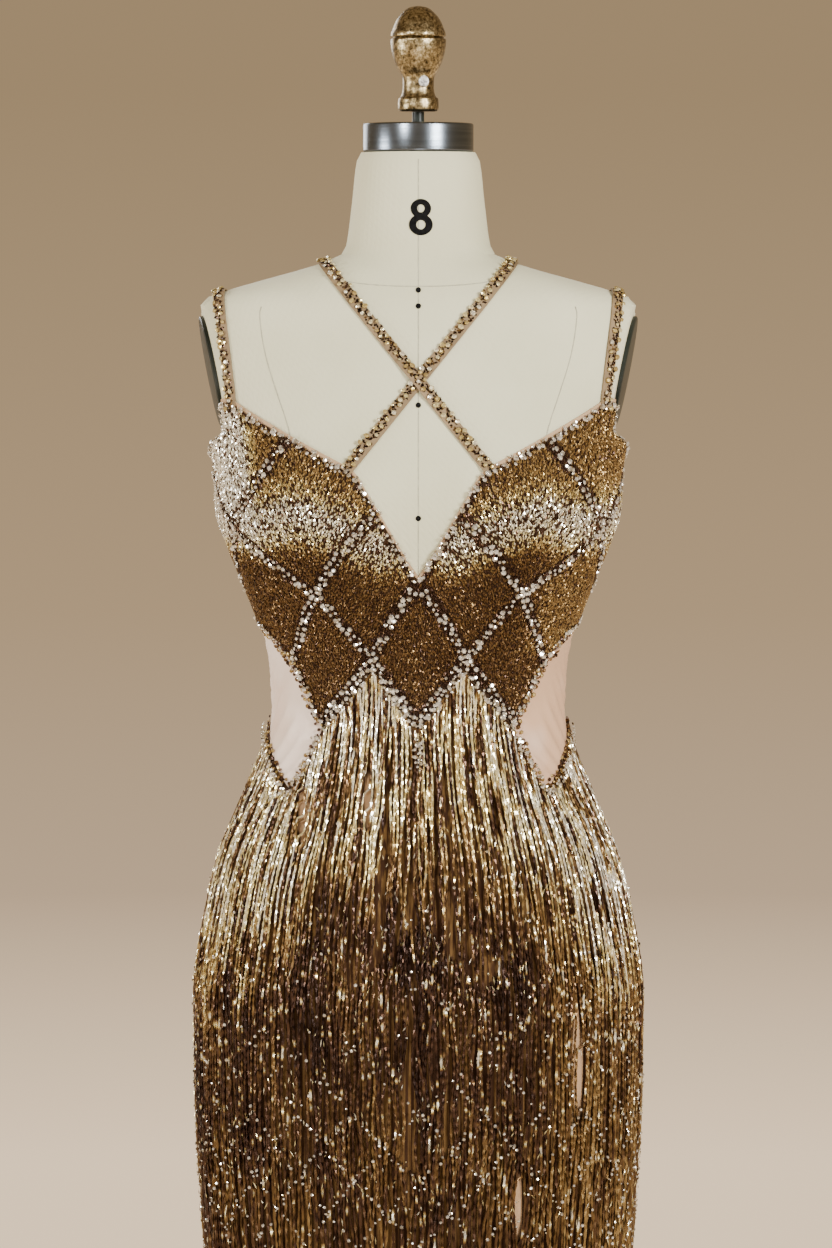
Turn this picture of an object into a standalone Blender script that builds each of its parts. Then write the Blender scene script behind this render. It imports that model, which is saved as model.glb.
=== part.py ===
"""A beaded fringe mermaid evening gown, shown on a limbless dress form on its stand.

Metres, +Z up. The front faces -Y, the form's axis is the Z axis, and the floor is Z = 0.
Every piece of cloth is a wall a constant distance outside one body surface, so that seams meet.
An angle round the body is 0 at centre front, 90 at the +X side and 180 at centre back.
"""

import math

import bmesh
import bpy
import numpy as np
from mathutils import Vector
from mathutils.bvhtree import BVHTree

# Cloth, in metres
CLOTH = 0.0015  # beaded cloth with its backing
MESH_CLOTH = 0.0010  # nude mesh of the side cut-outs
EASE = 0.0006  # from the form to the cloth
REST_GAP = 0.0004  # the least that cloth keeps from what it lies on
SEAM_GAP = 0.0003
ZIGZAG_GAP = 0.0011  # measured upright at the slanting seams
HEM_HEIGHT = 0.004
FORM_BOTTOM = 0.74

# Straps
STRAP_WIDTH = 0.009
STRAP_THICKNESS = 0.0020

# Crystal lattice bands on the bodice
BAND_WIDTH = 0.007
BAND_THICKNESS = 0.0014
BAND_STEP = 0.020
BAND_DIFFERENCE = 0.0002  # one slant is this much thicker, so that crossings join cleanly

# Fringe
STRANDS = 42
STRAND_SHARE = 0.62  # of the spacing between strands
STRIP_HEIGHT = 0.004
BACK_OPENING = 0.6  # degrees left free each side of the centre back zip
ROOT_INNER = 0.0008
ROOT_OUTER = 0.0023
TIP_INNER = 0.0040

# The body surface: (height, half width, front depth, back depth, squareness)
BODY = np.array(
    [
        (0.004, 0.360, 0.360, 0.360, 2.0),
        (0.130, 0.315, 0.300, 0.300, 2.0),
        (0.260, 0.249, 0.215, 0.215, 2.0),
        (0.380, 0.194, 0.146, 0.146, 2.1),
        (0.500, 0.172, 0.114, 0.114, 2.1),
        (0.580, 0.184, 0.118, 0.118, 2.1),
        (0.740, 0.1925, 0.119, 0.121, 2.2),
        (0.820, 0.1930, 0.120, 0.123, 2.2),
        (0.900, 0.1810, 0.115, 0.114, 2.2),
        (0.940, 0.1710, 0.111, 0.107, 2.2),
        (0.975, 0.1570, 0.105, 0.097, 2.2),
        (1.010, 0.1425, 0.099, 0.087, 2.2),
        (1.045, 0.1320, 0.094, 0.080, 2.2),
        (1.080, 0.1270, 0.092, 0.077, 2.2),
        (1.105, 0.1275, 0.095, 0.078, 2.2),
        (1.130, 0.1310, 0.100, 0.081, 2.3),
        (1.160, 0.1420, 0.107, 0.086, 2.3),
        (1.190, 0.1540, 0.113, 0.091, 2.3),
        (1.220, 0.1660, 0.117, 0.096, 2.3),
        (1.250, 0.1755, 0.119, 0.100, 2.3),
        (1.285, 0.1770, 0.117, 0.103, 2.3),
        (1.318, 0.1840, 0.110, 0.104, 2.2),
        (1.350, 0.1950, 0.103, 0.101, 2.1),
        (1.390, 0.2000, 0.091, 0.093, 2.1),
        (1.420, 0.1970, 0.080, 0.084, 2.1),
        (1.436, 0.1840, 0.074, 0.079, 2.1),
        (1.445, 0.1560, 0.069, 0.075, 2.1),
        (1.455, 0.1200, 0.064, 0.071, 2.1),
        (1.465, 0.0850, 0.060, 0.067, 2.0),
        (1.476, 0.0645, 0.057, 0.062, 2.0),
        (1.515, 0.0585, 0.055, 0.057, 2.0),
        (1.556, 0.0535, 0.052, 0.052, 2.0),
        (1.5617, 0.0500, 0.049, 0.049, 2.0),
    ]
)
BUST = {"side": 0.082, "height": 1.258, "depth": 0.022, "wide": 0.060, "tall": 0.066}
ARM_FLAT = {"x": 0.185, "height": 1.397, "lean": 0.19, "turn": 0.12, "ends": 1.318, "fade": 1.2}

# Columns of every cloth wall, in degrees of one quarter, mirrored to the other three
QUARTER = (0, 7.5, 15, 26, 37.5, 47.5, 56, 67.5, 79, 90)

# Soft flutes of the flared hem: (height, depth of the flutes)
FLUTES = 6
FLUTE_DEPTH = np.array([(0.004, 0.016), (0.130, 0.012), (0.260, 0.007), (0.380, 0.0)])

# Edges round one half of the body: (angle, height)
WAIST_ZIGZAG = [
    (0, 1.063), (15, 1.117), (37.5, 1.062), (47.5, 1.006), (90, 1.060),
    (132.5, 1.006), (142.5, 1.062), (165, 1.117), (180, 1.063),
]
BODICE_BOTTOM = [
    (0, 1.063), (15, 1.117), (37.5, 1.062), (56, 1.121), (67.5, 1.140), (90, 1.152),
    (112.5, 1.140), (124, 1.121), (142.5, 1.062), (165, 1.117), (180, 1.063),
]
FRONT_NECKLINE = [
    (0, 1.199), (7.5, 1.248), (15, 1.290), (56, 1.349), (67.5, 1.329), (79, 1.311), (90, 1.302),
]
BACK_NECKLINE = [(90, 1.302), (124, 1.290), (142.5, 1.283), (165, 1.225), (180, 1.165)]

SKIRT_ROWS = (0.004, 0.130, 0.260, 0.380, 0.500, 0.580, 0.740, 0.820, 0.900, 0.940, 0.975)
GORE_SEAMS = {
    "skirt_front": (-47.5, 47.5),
    "skirt_hip_front_right": (47.5, 67.5),
    "skirt_hip_front_left": (-67.5, -47.5),
    "skirt_side_front_right": (67.5, 90),
    "skirt_side_front_left": (-90, -67.5),
    "skirt_side_back_right": (90, 112.5),
    "skirt_side_back_left": (-112.5, -90),
    "skirt_hip_back_right": (112.5, 132.5),
    "skirt_hip_back_left": (-132.5, -112.5),
    "skirt_back_right": (132.5, 180),
    "skirt_back_left": (-180, -132.5),
}

# Fringe tiers: root height, its zigzag and that zigzag's turn, tip height, and where a strand bends
TIERS = {
    "fringe_tier_1": {"root": None, "zigzag": 0, "turn": 0, "tip": 0.836, "bends": (0.975, 0.940, 0.900)},
    "fringe_tier_2": {"root": 0.865, "zigzag": 0.029, "turn": 15, "tip": 0.665, "bends": (0.820, 0.740)},
    "fringe_tier_3": {"root": 0.703, "zigzag": 0.029, "turn": 0, "tip": 0.396, "bends": (0.580, 0.500)},
    "fringe_tier_4": {"root": 0.450, "zigzag": 0.020, "turn": 15, "tip": 0.014, "bends": (0.38, 0.26, 0.13)},
}
DIAMONDS = 12  # round the skirt
TIP_WAVE = 0.010

# Crystal lattice of the bodice, as lines between crossings (angle, height)
FRONT_LATTICE = {
    "falling": [[(36, 1.308), (64, 1.236), (84, 1.185)], [(9.8, 1.247), (32, 1.184), (52, 1.122)],
                [(0, 1.187), (15, 1.126), (35.5, 1.077)]],
    "rising": [[(84, 1.280), (64, 1.236), (32, 1.184), (15, 1.126), (0, 1.072)]],
}
BACK_LATTICE = {
    "falling": [[(144, 1.270), (120, 1.236), (96, 1.185)], [(165, 1.210), (148, 1.177), (128, 1.122)],
                [(178, 1.150), (165, 1.126), (144.5, 1.077)]],
    "rising": [[(96, 1.280), (120, 1.236), (148, 1.177), (165, 1.126), (178, 1.076)]],
}

# Where the straps start, cross the shoulder and end: (x, height)
STRAPS = {
    "strap_shoulder_right": {"front": (0.160, 1.339), "top": (0.174, 1.440), "back": (0.119, 1.276)},
    "strap_shoulder_left": {"front": (-0.160, 1.339), "top": (-0.174, 1.440), "back": (-0.119, 1.276)},
    "strap_cross_under": {"front": (-0.0625, 1.288), "top": (0.084, 1.468), "back": (-0.062, 1.226)},
    "strap_cross_over": {"front": (0.0625, 1.288), "top": (-0.084, 1.468), "back": (0.062, 1.226)},
}
STRAP_PIVOT = 1.36
STRAP_STEPS = 22

# Turned pieces, as (radius, height) from the top down
NECK_PLATE = [(0, 1.587), (0.0465, 1.587), (0.0485, 1.5855), (0.0485, 1.5635), (0.0470, 1.562), (0, 1.562)]
ROD = [(0, 1.5971), (0.0052, 1.5971), (0.0052, 1.5873), (0, 1.5873)]
KNOB = [
    (0, 1.6890), (0.0075, 1.6876), (0.0140, 1.6830), (0.0192, 1.6766), (0.0222, 1.6696),
    (0.0240, 1.6634), (0.0229, 1.6612), (0.0243, 1.6585), (0.0236, 1.6520), (0.0215, 1.6432),
    (0.0180, 1.6344), (0.0152, 1.6298), (0.0138, 1.6264), (0.0136, 1.6170), (0.0152, 1.6110),
    (0.0176, 1.6085), (0.0176, 1.6010), (0.0152, 1.5974), (0, 1.5974),
]
POLE_RADIUS = 0.0125
FLANGE = [(0, 0.7397), (0.045, 0.7397), (0.045, 0.7330), (0.022, 0.7200), (0, 0.7200)]
POLE = [(0, 0.7197), (POLE_RADIUS, 0.7197), (POLE_RADIUS, 0.0463), (0, 0.0463)]
BASE = [(0, 0.0460), (0.024, 0.0460), (0.032, 0.0260), (0.090, 0.0190), (0.140, 0.0150), (0.145, 0.0110),
        (0.145, 0.0), (0, 0.0)]
SCREW_RADIUS = 0.0034
SCREW_HEIGHT = 1.6224
ARM_PLATE = {"centre": 1.371, "half_height": 0.049, "half_depth": 0.041, "thickness": 0.004, "points": 24}

COLOURS = {
    "beads": ((0.36, 0.24, 0.09, 1), 0.35, 0.6),
    "mesh": ((0.80, 0.64, 0.55, 1), 0.75, 0.0),
    "crystal": ((0.85, 0.80, 0.66, 1), 0.12, 0.7),
    "strap": ((0.72, 0.55, 0.33, 1), 0.5, 0.2),
    "linen": ((0.78, 0.76, 0.69, 1), 0.85, 0.0),
    "steel": ((0.55, 0.55, 0.54, 1), 0.3, 1.0),
    "dark": ((0.03, 0.035, 0.03, 1), 0.35, 0.3),
    "bronze": ((0.45, 0.32, 0.14, 1), 0.4, 0.9),
    "iron": ((0.05, 0.05, 0.05, 1), 0.5, 0.7),
}


def start():
    """An empty scene with one collection for the pieces and one for the helpers."""
    for obj in list(bpy.data.objects):
        bpy.data.objects.remove(obj)
    made = {}
    for name in ("mermaid_gown_on_form", "helpers"):
        made[name] = bpy.data.collections.new(name)
        bpy.context.scene.collection.children.link(made[name])
    return made["mermaid_gown_on_form"], made["helpers"]


def material(name):
    """The Principled material of that name, made once."""
    found = bpy.data.materials.get(name)
    if found:
        return found
    colour, roughness, metallic = COLOURS[name]
    found = bpy.data.materials.new(name)
    found.use_nodes = True
    shader = found.node_tree.nodes["Principled BSDF"]
    shader.inputs["Base Color"].default_value = colour
    shader.inputs["Roughness"].default_value = roughness
    shader.inputs["Metallic"].default_value = metallic
    return found


def add_object(name, vertices, faces, look, collection):
    """A mesh object with its normals facing out."""
    mesh = bpy.data.meshes.new(name)
    mesh.from_pydata([tuple(map(float, v)) for v in vertices], [], faces)
    work = bmesh.new()
    work.from_mesh(mesh)
    bmesh.ops.recalc_face_normals(work, faces=work.faces)
    bmesh.ops.triangulate(work, faces=work.faces, quad_method="FIXED")
    work.to_mesh(mesh)
    work.free()
    mesh.materials.append(material(look))
    obj = bpy.data.objects.new(name, mesh)
    collection.objects.link(obj)
    return obj


def smoothed(obj, angle=40):
    """Shades a round piece smooth but for its sharp edges."""
    obj.data.shade_smooth()
    obj.data.set_sharp_from_angle(angle=math.radians(angle))
    return obj


def across(edge, angle):
    """The height of an edge at an angle, the same on both sides of the body."""
    angles, heights = zip(*edge)
    return np.interp(np.abs(angle), angles, heights)


def flutes(angle, height):
    """How far the flared hem stands out in its soft flutes, straight between the columns."""
    columns = np.array(round_the_body())
    waves = np.cos(np.radians(columns * FLUTES))
    depth = np.interp(height, FLUTE_DEPTH[:, 0], FLUTE_DEPTH[:, 1])
    return np.interp(np.degrees(angle), columns, waves) * depth


def round_the_body():
    """All the columns from -180 to 180 degrees."""
    half = list(QUARTER) + [180 - a for a in reversed(QUARTER[:-1])]
    return [-a for a in reversed(half[1:])] + half


def body(angle, height):
    """Points of the body surface: a squared ellipse with a bust, flat arm ends and hem flutes."""
    angle, height = np.broadcast_arrays(np.asarray(angle, float), np.asarray(height, float))
    half, front, back, square = (np.interp(height, BODY[:, 0], BODY[:, k]) for k in range(1, 5))
    sine, cosine = np.sin(angle), np.cos(angle)
    x = half * np.sign(sine) * np.abs(sine) ** (2 / square)
    depth = np.where(cosine > 0, front, back)
    y = -depth * np.sign(cosine) * np.abs(cosine) ** (2 / square)
    bust = sum(
        np.exp(-(((x - side * BUST["side"]) / BUST["wide"]) ** 2)) for side in (-1, 1)
    ) * np.exp(-(((height - BUST["height"]) / BUST["tall"]) ** 2))
    y = y - BUST["depth"] * bust * np.clip(cosine * 3, 0, 1)
    limit = arm_flat(y, height)
    x = np.clip(x, -limit, limit)
    out = flutes(angle, height)
    return np.stack([x + out * sine, y - out * cosine, height], axis=-1)


def arm_flat(y, height):
    """How far out the form's flat arm end lies at that depth and height."""
    flat = ARM_FLAT["x"] + ARM_FLAT["lean"] * (height - ARM_FLAT["height"]) + ARM_FLAT["turn"] * y
    faded = flat + ARM_FLAT["fade"] * np.maximum(0, ARM_FLAT["ends"] - height)
    return np.where(height > FORM_BOTTOM, np.where(height < 1.29, 1.0, faded), 1.0)


def outward(angle, height):
    """Unit normals of the body surface."""
    turn, rise = math.radians(2.5), 0.006
    round_it = body(angle + turn, height) - body(angle - turn, height)
    up_it = body(angle, height + rise) - body(angle, height - rise)
    normal = np.cross(round_it, up_it)
    return normal / np.linalg.norm(normal, axis=-1, keepdims=True)


def need(trees, point, normal):
    """How far a point must move out along its normal to lie just outside the given surfaces."""
    reach = 0.03
    start, way = Vector(point + normal * reach), Vector(-normal)
    found = [tree.ray_cast(start, way, 2 * reach)[3] for tree in trees]
    heights = [reach - distance for distance in found if distance is not None]
    return max(heights) + REST_GAP if heights else 0.0


def eased(points, normals, trees, samples):
    """How far each point of a grid must move out so that the flat cells between them clear the surfaces."""
    rows, columns = points.shape[:2]
    lift = np.zeros((rows, columns))
    shares = np.linspace(0, 1, samples)
    for r in range(rows - 1):
        for c in range(columns - 1):
            cell = np.s_[r : r + 2, c : c + 2]
            most = 0.0
            for v in shares:
                for u in shares:
                    weight = np.array([[1 - max(u, v), max(u - v, 0)], [max(v - u, 0), min(u, v)]])
                    place = (points[cell] * weight[:, :, None]).sum(axis=(0, 1))
                    way = (normals[cell] * weight[:, :, None]).sum(axis=(0, 1))
                    most = max(most, need(trees, place, way / np.linalg.norm(way)))
            lift[cell] = np.maximum(lift[cell], most)
    return lift


def surface(obj):
    """An object's surface as it stands, for measuring clearances."""
    bpy.context.view_layer.update()
    done = obj.evaluated_get(bpy.context.evaluated_depsgraph_get())
    mesh = done.to_mesh()
    corners = [v.co.copy() for v in mesh.vertices]
    tree = BVHTree.FromPolygons(corners, [tuple(p.vertices) for p in mesh.polygons])
    done.to_mesh_clear()
    return tree


class Panel:
    """A stretch of the body surface as a grid of columns and rows, from which walls and trim are made."""

    def __init__(self, columns, heights, form):
        self.columns = np.array(columns, float)
        self.heights = np.array(heights, float)
        angle = np.broadcast_to(np.radians(self.columns), self.heights.shape)
        self.base = body(angle, self.heights)
        self.normal = outward(angle, self.heights)
        lift = eased(self.base + self.normal * EASE, self.normal, [form], 9)
        self.base = self.base + self.normal * lift[:, :, None]

    def place(self, angle, height):
        """A point on the cloth's outer face and the normal there, worked out from the grid's own points."""
        right = int(np.clip(np.searchsorted(self.columns, angle), 1, len(self.columns) - 1))
        share = (angle - self.columns[right - 1]) / (self.columns[right] - self.columns[right - 1])
        point, normal = np.zeros(3), np.zeros(3)
        for column, weight in ((right - 1, 1 - share), (right, share)):
            rows = self.heights[:, column]
            there = np.array([np.interp(height, rows, self.normal[:, column, k]) for k in range(3)])
            base = np.array([np.interp(height, rows, self.base[:, column, k]) for k in range(3)])
            normal += weight * there
            point += weight * (base + there * (EASE + CLOTH))
        return point, normal / np.linalg.norm(normal)

    def grid(self, angles, heights):
        """Points and normals at a grid of angles and heights."""
        found = [[self.place(a, z) for a, z in zip(ra, rz)] for ra, rz in zip(angles, heights)]
        points = np.array([[point for point, _ in row] for row in found])
        return points, np.array([[normal for _, normal in row] for row in found])

    def wall(self, name, first, last, thickness, look, collection):
        """A closed wall of cloth between two columns, parted from its neighbours by the seam gap."""
        chosen = (self.columns >= first - 1e-6) & (self.columns <= last + 1e-6)
        base, normal = self.base[:, chosen].copy(), self.normal[:, chosen]
        for end, beside in ((0, 1), (-1, -2)):
            sideways = base[:, beside] - base[:, end]
            sideways /= np.linalg.norm(sideways, axis=-1, keepdims=True)
            base[:, end] += sideways * SEAM_GAP / 2
        return closed_wall(name, base + normal * EASE, base + normal * (EASE + thickness), look, collection)


def closed_wall(name, inner, outer, look, collection):
    """A closed solid between two grids of the same size."""
    rows, columns = inner.shape[:2]
    vertices = np.concatenate([inner.reshape(-1, 3), outer.reshape(-1, 3)])
    count = rows * columns
    faces = []
    for r in range(rows - 1):
        for c in range(columns - 1):
            a = r * columns + c
            b, d, e = a + 1, a + columns + 1, a + columns
            faces.append((a + count, b + count, d + count, e + count))
            faces.append((d, b, a, e))
    rim = [(0, c) for c in range(columns - 1)] + [(r, columns - 1) for r in range(rows - 1)]
    rim += [(rows - 1, c) for c in range(columns - 1, 0, -1)] + [(r, 0) for r in range(rows - 1, 0, -1)]
    for (r, c), (s, d) in zip(rim, rim[1:] + rim[:1]):
        faces.append((r * columns + c, s * columns + d, s * columns + d + count, r * columns + c + count))
    return add_object(name, vertices, faces, look, collection)


def closed_loft(name, rings, look, collection):
    """A closed solid through rings of equal count, capped at both ends."""
    count = len(rings[0])
    vertices = np.concatenate(rings)
    faces = [tuple(range(count)), tuple(range((len(rings) - 1) * count, len(rings) * count))]
    for r in range(len(rings) - 1):
        for c in range(count):
            d = (c + 1) % count
            faces.append((r * count + c, r * count + d, (r + 1) * count + d, (r + 1) * count + c))
    return add_object(name, vertices, faces, look, collection)


def turned(name, profile, steps, look, collection):
    """A profile of (radius, height), from the top down, turned about the Z axis."""
    mesh = bpy.data.meshes.new(name)
    mesh.from_pydata([(r, 0, z) for r, z in profile], [(i, i + 1) for i in range(len(profile) - 1)], [])
    mesh.materials.append(material(look))
    obj = bpy.data.objects.new(name, mesh)
    collection.objects.link(obj)
    screw = obj.modifiers.new("turn", "SCREW")
    screw.axis, screw.angle = "Z", math.tau
    screw.steps = screw.render_steps = steps
    screw.use_merge_vertices = True
    screw.merge_threshold = 0.00005
    screw.use_smooth_shade = True
    return obj


def edge_rows(bottom, top, count):
    """Heights of a panel whose rows are spread evenly between two edges."""
    share = np.linspace(0, 1, count)[:, None]
    return bottom * (1 - share) + top * share


def make_skirt(form, collection):
    """The skirt in seven gores, from the zigzag waist seam to the fluted hem."""
    columns = np.array(round_the_body())
    top = across(WAIST_ZIGZAG, columns) - ZIGZAG_GAP / 2
    straight = np.repeat(np.array(SKIRT_ROWS)[:, None], len(columns), axis=1)
    between = [straight[-1] * (1 - share) + top * share for share in (0.33, 0.66, 1.0)]
    skirt = Panel(columns, np.vstack([straight, between]), form)
    skirt.gores = []
    for name, (first, last) in GORE_SEAMS.items():
        skirt.gores.append(surface(skirt.wall(name, first, last, CLOTH, "beads", collection)))
    return skirt


def make_bodice(form, collection):
    """The front in one piece and the back in two, which meet at the centre back zip."""
    half = [a for a in round_the_body() if a >= 0]
    front_columns = np.array([a for a in round_the_body() if abs(a) <= 90])
    back_columns = np.array([a for a in half if a >= 90])
    made = {}
    for name, columns, neckline, rows in (
        ("bodice_front", front_columns, FRONT_NECKLINE, 10),
        ("bodice_back_right", back_columns, BACK_NECKLINE, 8),
        ("bodice_back_left", -back_columns[::-1], BACK_NECKLINE, 8),
    ):
        bottom = across(BODICE_BOTTOM, columns) + ZIGZAG_GAP / 2
        made[name] = Panel(columns, edge_rows(bottom, across(neckline, columns), rows), form)
        made[name].solid = made[name].wall(name, columns[0], columns[-1], CLOTH, "beads", collection)
    return made


def make_cutouts(form, collection):
    """The nude mesh panels of the two side cut-outs, from the skirt's seam up to the bodice's."""
    inset = 0.9  # degrees, where the pointed ends close
    half = [a for a in round_the_body() if 37.5 < a < 142.5]
    right = np.array([37.5 + inset] + half + [142.5 - inset])
    for name, columns in (("cutout_mesh_right", right), ("cutout_mesh_left", -right[::-1])):
        bottom = across(WAIST_ZIGZAG, columns) + ZIGZAG_GAP / 2
        top = across(BODICE_BOTTOM, columns) - ZIGZAG_GAP / 2
        panel = Panel(columns, edge_rows(bottom, top, 4), form)
        panel.wall(name, columns[0], columns[-1], MESH_CLOTH, "mesh", collection)


def zigzag(tier, angle):
    """The height of a tier's root at an angle: diamonds' lower edges, or the waist seam itself."""
    if tier["root"] is None:
        return across(WAIST_ZIGZAG, angle) - STRIP_HEIGHT - 0.002
    turn = (angle + tier["turn"]) * DIAMONDS / 360
    return tier["root"] + tier["zigzag"] * (4 * abs(turn - round(turn)) - 1)


def make_fringe(name, tier, skirt, trees, collection):
    """One tier: a narrow zigzag strip with four-sided strands that grow from its lower face."""
    pitch = (360 - 2 * BACK_OPENING) / STRANDS
    bounds = [-180 + BACK_OPENING]
    for i in range(STRANDS):
        middle = -180 + BACK_OPENING + pitch * (i + 0.5)
        bounds += [middle - pitch * STRAND_SHARE / 2, middle + pitch * STRAND_SHARE / 2]
    bounds.append(180 - BACK_OPENING)
    low = [zigzag(tier, angle) for angle in bounds]
    points, normals = skirt.grid([bounds, bounds], [low, [z + STRIP_HEIGHT for z in low]])
    points = points + normals * ROOT_INNER
    points = points + normals * eased(points, normals, trees, 5)[:, :, None]
    far = points + normals * (ROOT_OUTER - ROOT_INNER)
    vertices, faces = [], []
    posts = []
    for k in range(len(bounds)):
        posts.append([4 * k, 4 * k + 1, 4 * k + 2, 4 * k + 3])
        vertices += [points[0, k], far[0, k], far[1, k], points[1, k]]
    faces += [tuple(posts[0]), tuple(reversed(posts[-1]))]
    for k, (left, right) in enumerate(zip(posts, posts[1:])):
        for side in (1, 2, 3):
            after = (side + 1) % 4
            faces.append((left[side], right[side], right[after], left[after]))
        if k % 2 == 0:
            faces.append((left[0], right[0], right[1], left[1]))
            continue
        swing = TIP_WAVE * math.cos(k * 1.7) * (0 if tier["tip"] < 0.1 else 1)
        heights = [*tier["bends"], tier["tip"] + swing]
        strand, out = skirt.grid([bounds[k : k + 2]] * len(heights), [[z, z] for z in heights])
        strand = strand + out * np.array([ROOT_INNER] + [TIP_INNER] * (len(heights) - 1))[:, None, None]
        whole = np.concatenate([points[0:1, k : k + 2], strand])
        ways = np.concatenate([normals[0:1, k : k + 2], out])
        lift = eased(whole, ways, trees, 7)[1:]
        strand = strand + out * lift[:, :, None]
        above = [left[0], left[1], right[1], right[0]]
        for near, way in zip(strand, out):
            outer = near + way * (ROOT_OUTER - ROOT_INNER)
            first = len(vertices)
            vertices += [near[0], outer[0], outer[1], near[1]]
            below = [first, first + 1, first + 2, first + 3]
            for side in range(4):
                after = (side + 1) % 4
                faces.append((above[side], above[after], below[after], below[side]))
            above = below
        faces.append(tuple(above))
    return add_object(name, vertices, faces, "beads", collection)


def band(panel, line, thickness, tree, collection, name):
    """One lattice band along a line of crossings, lying on the bodice."""
    line = np.array(line, float)
    corners = np.array([panel.place(a, z)[0] for a, z in line])
    along = np.concatenate([[0], np.cumsum(np.linalg.norm(np.diff(corners, axis=0), axis=1))])
    even = np.linspace(0, along[-1], round(along[-1] / BAND_STEP) + 1)
    points = [(np.interp(e, along, line[:, 0]), np.interp(e, along, line[:, 1])) for e in even]
    low = np.array([panel.place(a, z)[0] for a, z in points])
    normal = np.array([panel.place(a, z)[1] for a, z in points])
    return ribbon(name, low, normal, BAND_WIDTH, thickness, [tree], "crystal", collection)


def ribbon(name, low, normal, width, thickness, trees, look, collection):
    """A flat strip along a path, lifted clear of the surfaces that it lies on."""
    normal = normal / np.linalg.norm(normal, axis=1, keepdims=True)
    sideways = np.cross(np.gradient(low, axis=0), normal)
    sideways *= width / 2 / np.linalg.norm(sideways, axis=1, keepdims=True)
    both = np.stack([normal, normal], axis=1)
    inner = np.stack([low - sideways, low + sideways], axis=1)
    lift = eased(inner, both, trees, 13).max(axis=1)[:, None, None]
    inner = inner + both * lift
    return closed_wall(name, inner, inner + both * thickness, look, collection)


def make_lattice(name, panels, lattice, collection, helpers):
    """The crystal-edged diamonds of one panel: bands joined at their crossings into one net."""
    bands = []
    for panel, side in panels:
        tree = surface(panel.solid)
        for slant, extra in (("falling", 0.0), ("rising", BAND_DIFFERENCE)):
            for line in lattice[slant]:
                ordered = [(a * side, z) for a, z in line]
                label = f"{name}_band_{len(bands)}"
                bands.append(band(panel, ordered, BAND_THICKNESS + extra, tree, helpers, label))
    net = bands[0]
    for other in bands[1:]:
        join = net.modifiers.new(other.name, "BOOLEAN")
        join.operation, join.object = "UNION", other
        other.hide_render = True
        other.display_type = "WIRE"
    helpers.objects.unlink(net)
    collection.objects.link(net)
    net.name = name
    return net


def make_form(collection):
    """The padded torso and neck, smooth and whole, from its underside to the neck plate."""
    columns = np.radians(round_the_body()[:-1])
    heights = [z for z in BODY[:, 0] if z >= FORM_BOTTOM]
    rings = [body(columns, z) for z in heights]
    return smoothed(closed_loft("form_torso", rings, "linen", collection))


def make_arm_plate(name, side, collection):
    """An oval plate that closes the form where an arm would be."""
    centre = Vector((float(arm_flat(0, ARM_PLATE["centre"])), 0, ARM_PLATE["centre"]))
    back = Vector((ARM_FLAT["turn"], 1, 0)).normalized()
    up = Vector((ARM_FLAT["lean"], 0, 1)).normalized()
    out = back.cross(up).normalized()
    rings = []
    for lift, share in ((0.0004, 1.0), (0.003, 1.0), (ARM_PLATE["thickness"], 0.93)):
        ring = []
        for k in range(ARM_PLATE["points"]):
            turn = math.tau * k / ARM_PLATE["points"]
            flat = back * math.cos(turn) * ARM_PLATE["half_depth"]
            flat += up * math.sin(turn) * ARM_PLATE["half_height"]
            point = centre + flat * share + out * lift
            ring.append((point.x * side, point.y, point.z))
        rings.append(np.array(ring))
    return closed_loft(name, rings, "dark", collection)


def strap_line(spec, form):
    """The strap's points and normals on the form, from the front over the shoulder to the back."""
    (front_x, front_z), (top_x, top_z), (back_x, back_z) = spec["front"], spec["top"], spec["back"]
    places, normals = [], []
    for turn in np.linspace(-0.9, math.pi + 0.9, 400):
        low_x, low_z = (front_x, front_z) if turn < math.pi / 2 else (back_x, back_z)
        way = Vector((0, -math.cos(turn), math.sin(turn)))
        x = low_x
        for _ in range(6):
            place, normal, _, _ = form.ray_cast(Vector((x, 0, STRAP_PIVOT)) + way * 0.5, -way)
            x = low_x + (top_x - low_x) * float(np.clip((place.z - low_z) / (top_z - low_z), 0, 1))
        if place.z >= low_z:
            places.append(np.array(place))
            normals.append(np.array(normal))
    places, normals = np.array(places), np.array(normals)
    along = np.concatenate([[0], np.cumsum(np.linalg.norm(np.diff(places, axis=0), axis=1))])
    soft = []
    for centre in along:
        near = np.exp(-(((along - centre) / 0.008) ** 2))[:, None]
        soft.append((normals * near).sum(axis=0) / near.sum())
    even = np.linspace(0, along[-1], STRAP_STEPS)
    places = np.stack([np.interp(even, along, places[:, k]) for k in range(3)], axis=1)
    normals = np.stack([np.interp(even, along, np.array(soft)[:, k]) for k in range(3)], axis=1)
    return places, normals


def make_strap(name, spec, form, trees, collection):
    """A narrow beaded strap that lies on the form, its ends sewn onto the bodice's edge."""
    places, normals = strap_line(spec, form)
    return ribbon(name, places, normals, STRAP_WIDTH, STRAP_THICKNESS, trees, "strap", collection)


def make_knob_screw(collection):
    """The small round screw that holds the knob on its rod, on the front of the knob's stem."""
    bpy.ops.mesh.primitive_cylinder_add(vertices=14, radius=SCREW_RADIUS, depth=0.0022)
    screw = bpy.context.active_object
    screw.name = "form_knob_screw"
    screw.rotation_euler = (math.radians(90), 0, 0)
    screw.location = (0.003, -0.0152, SCREW_HEIGHT)
    screw.data.materials.append(material("steel"))
    for other in list(screw.users_collection):
        other.objects.unlink(screw)
    collection.objects.link(screw)
    return screw


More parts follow.
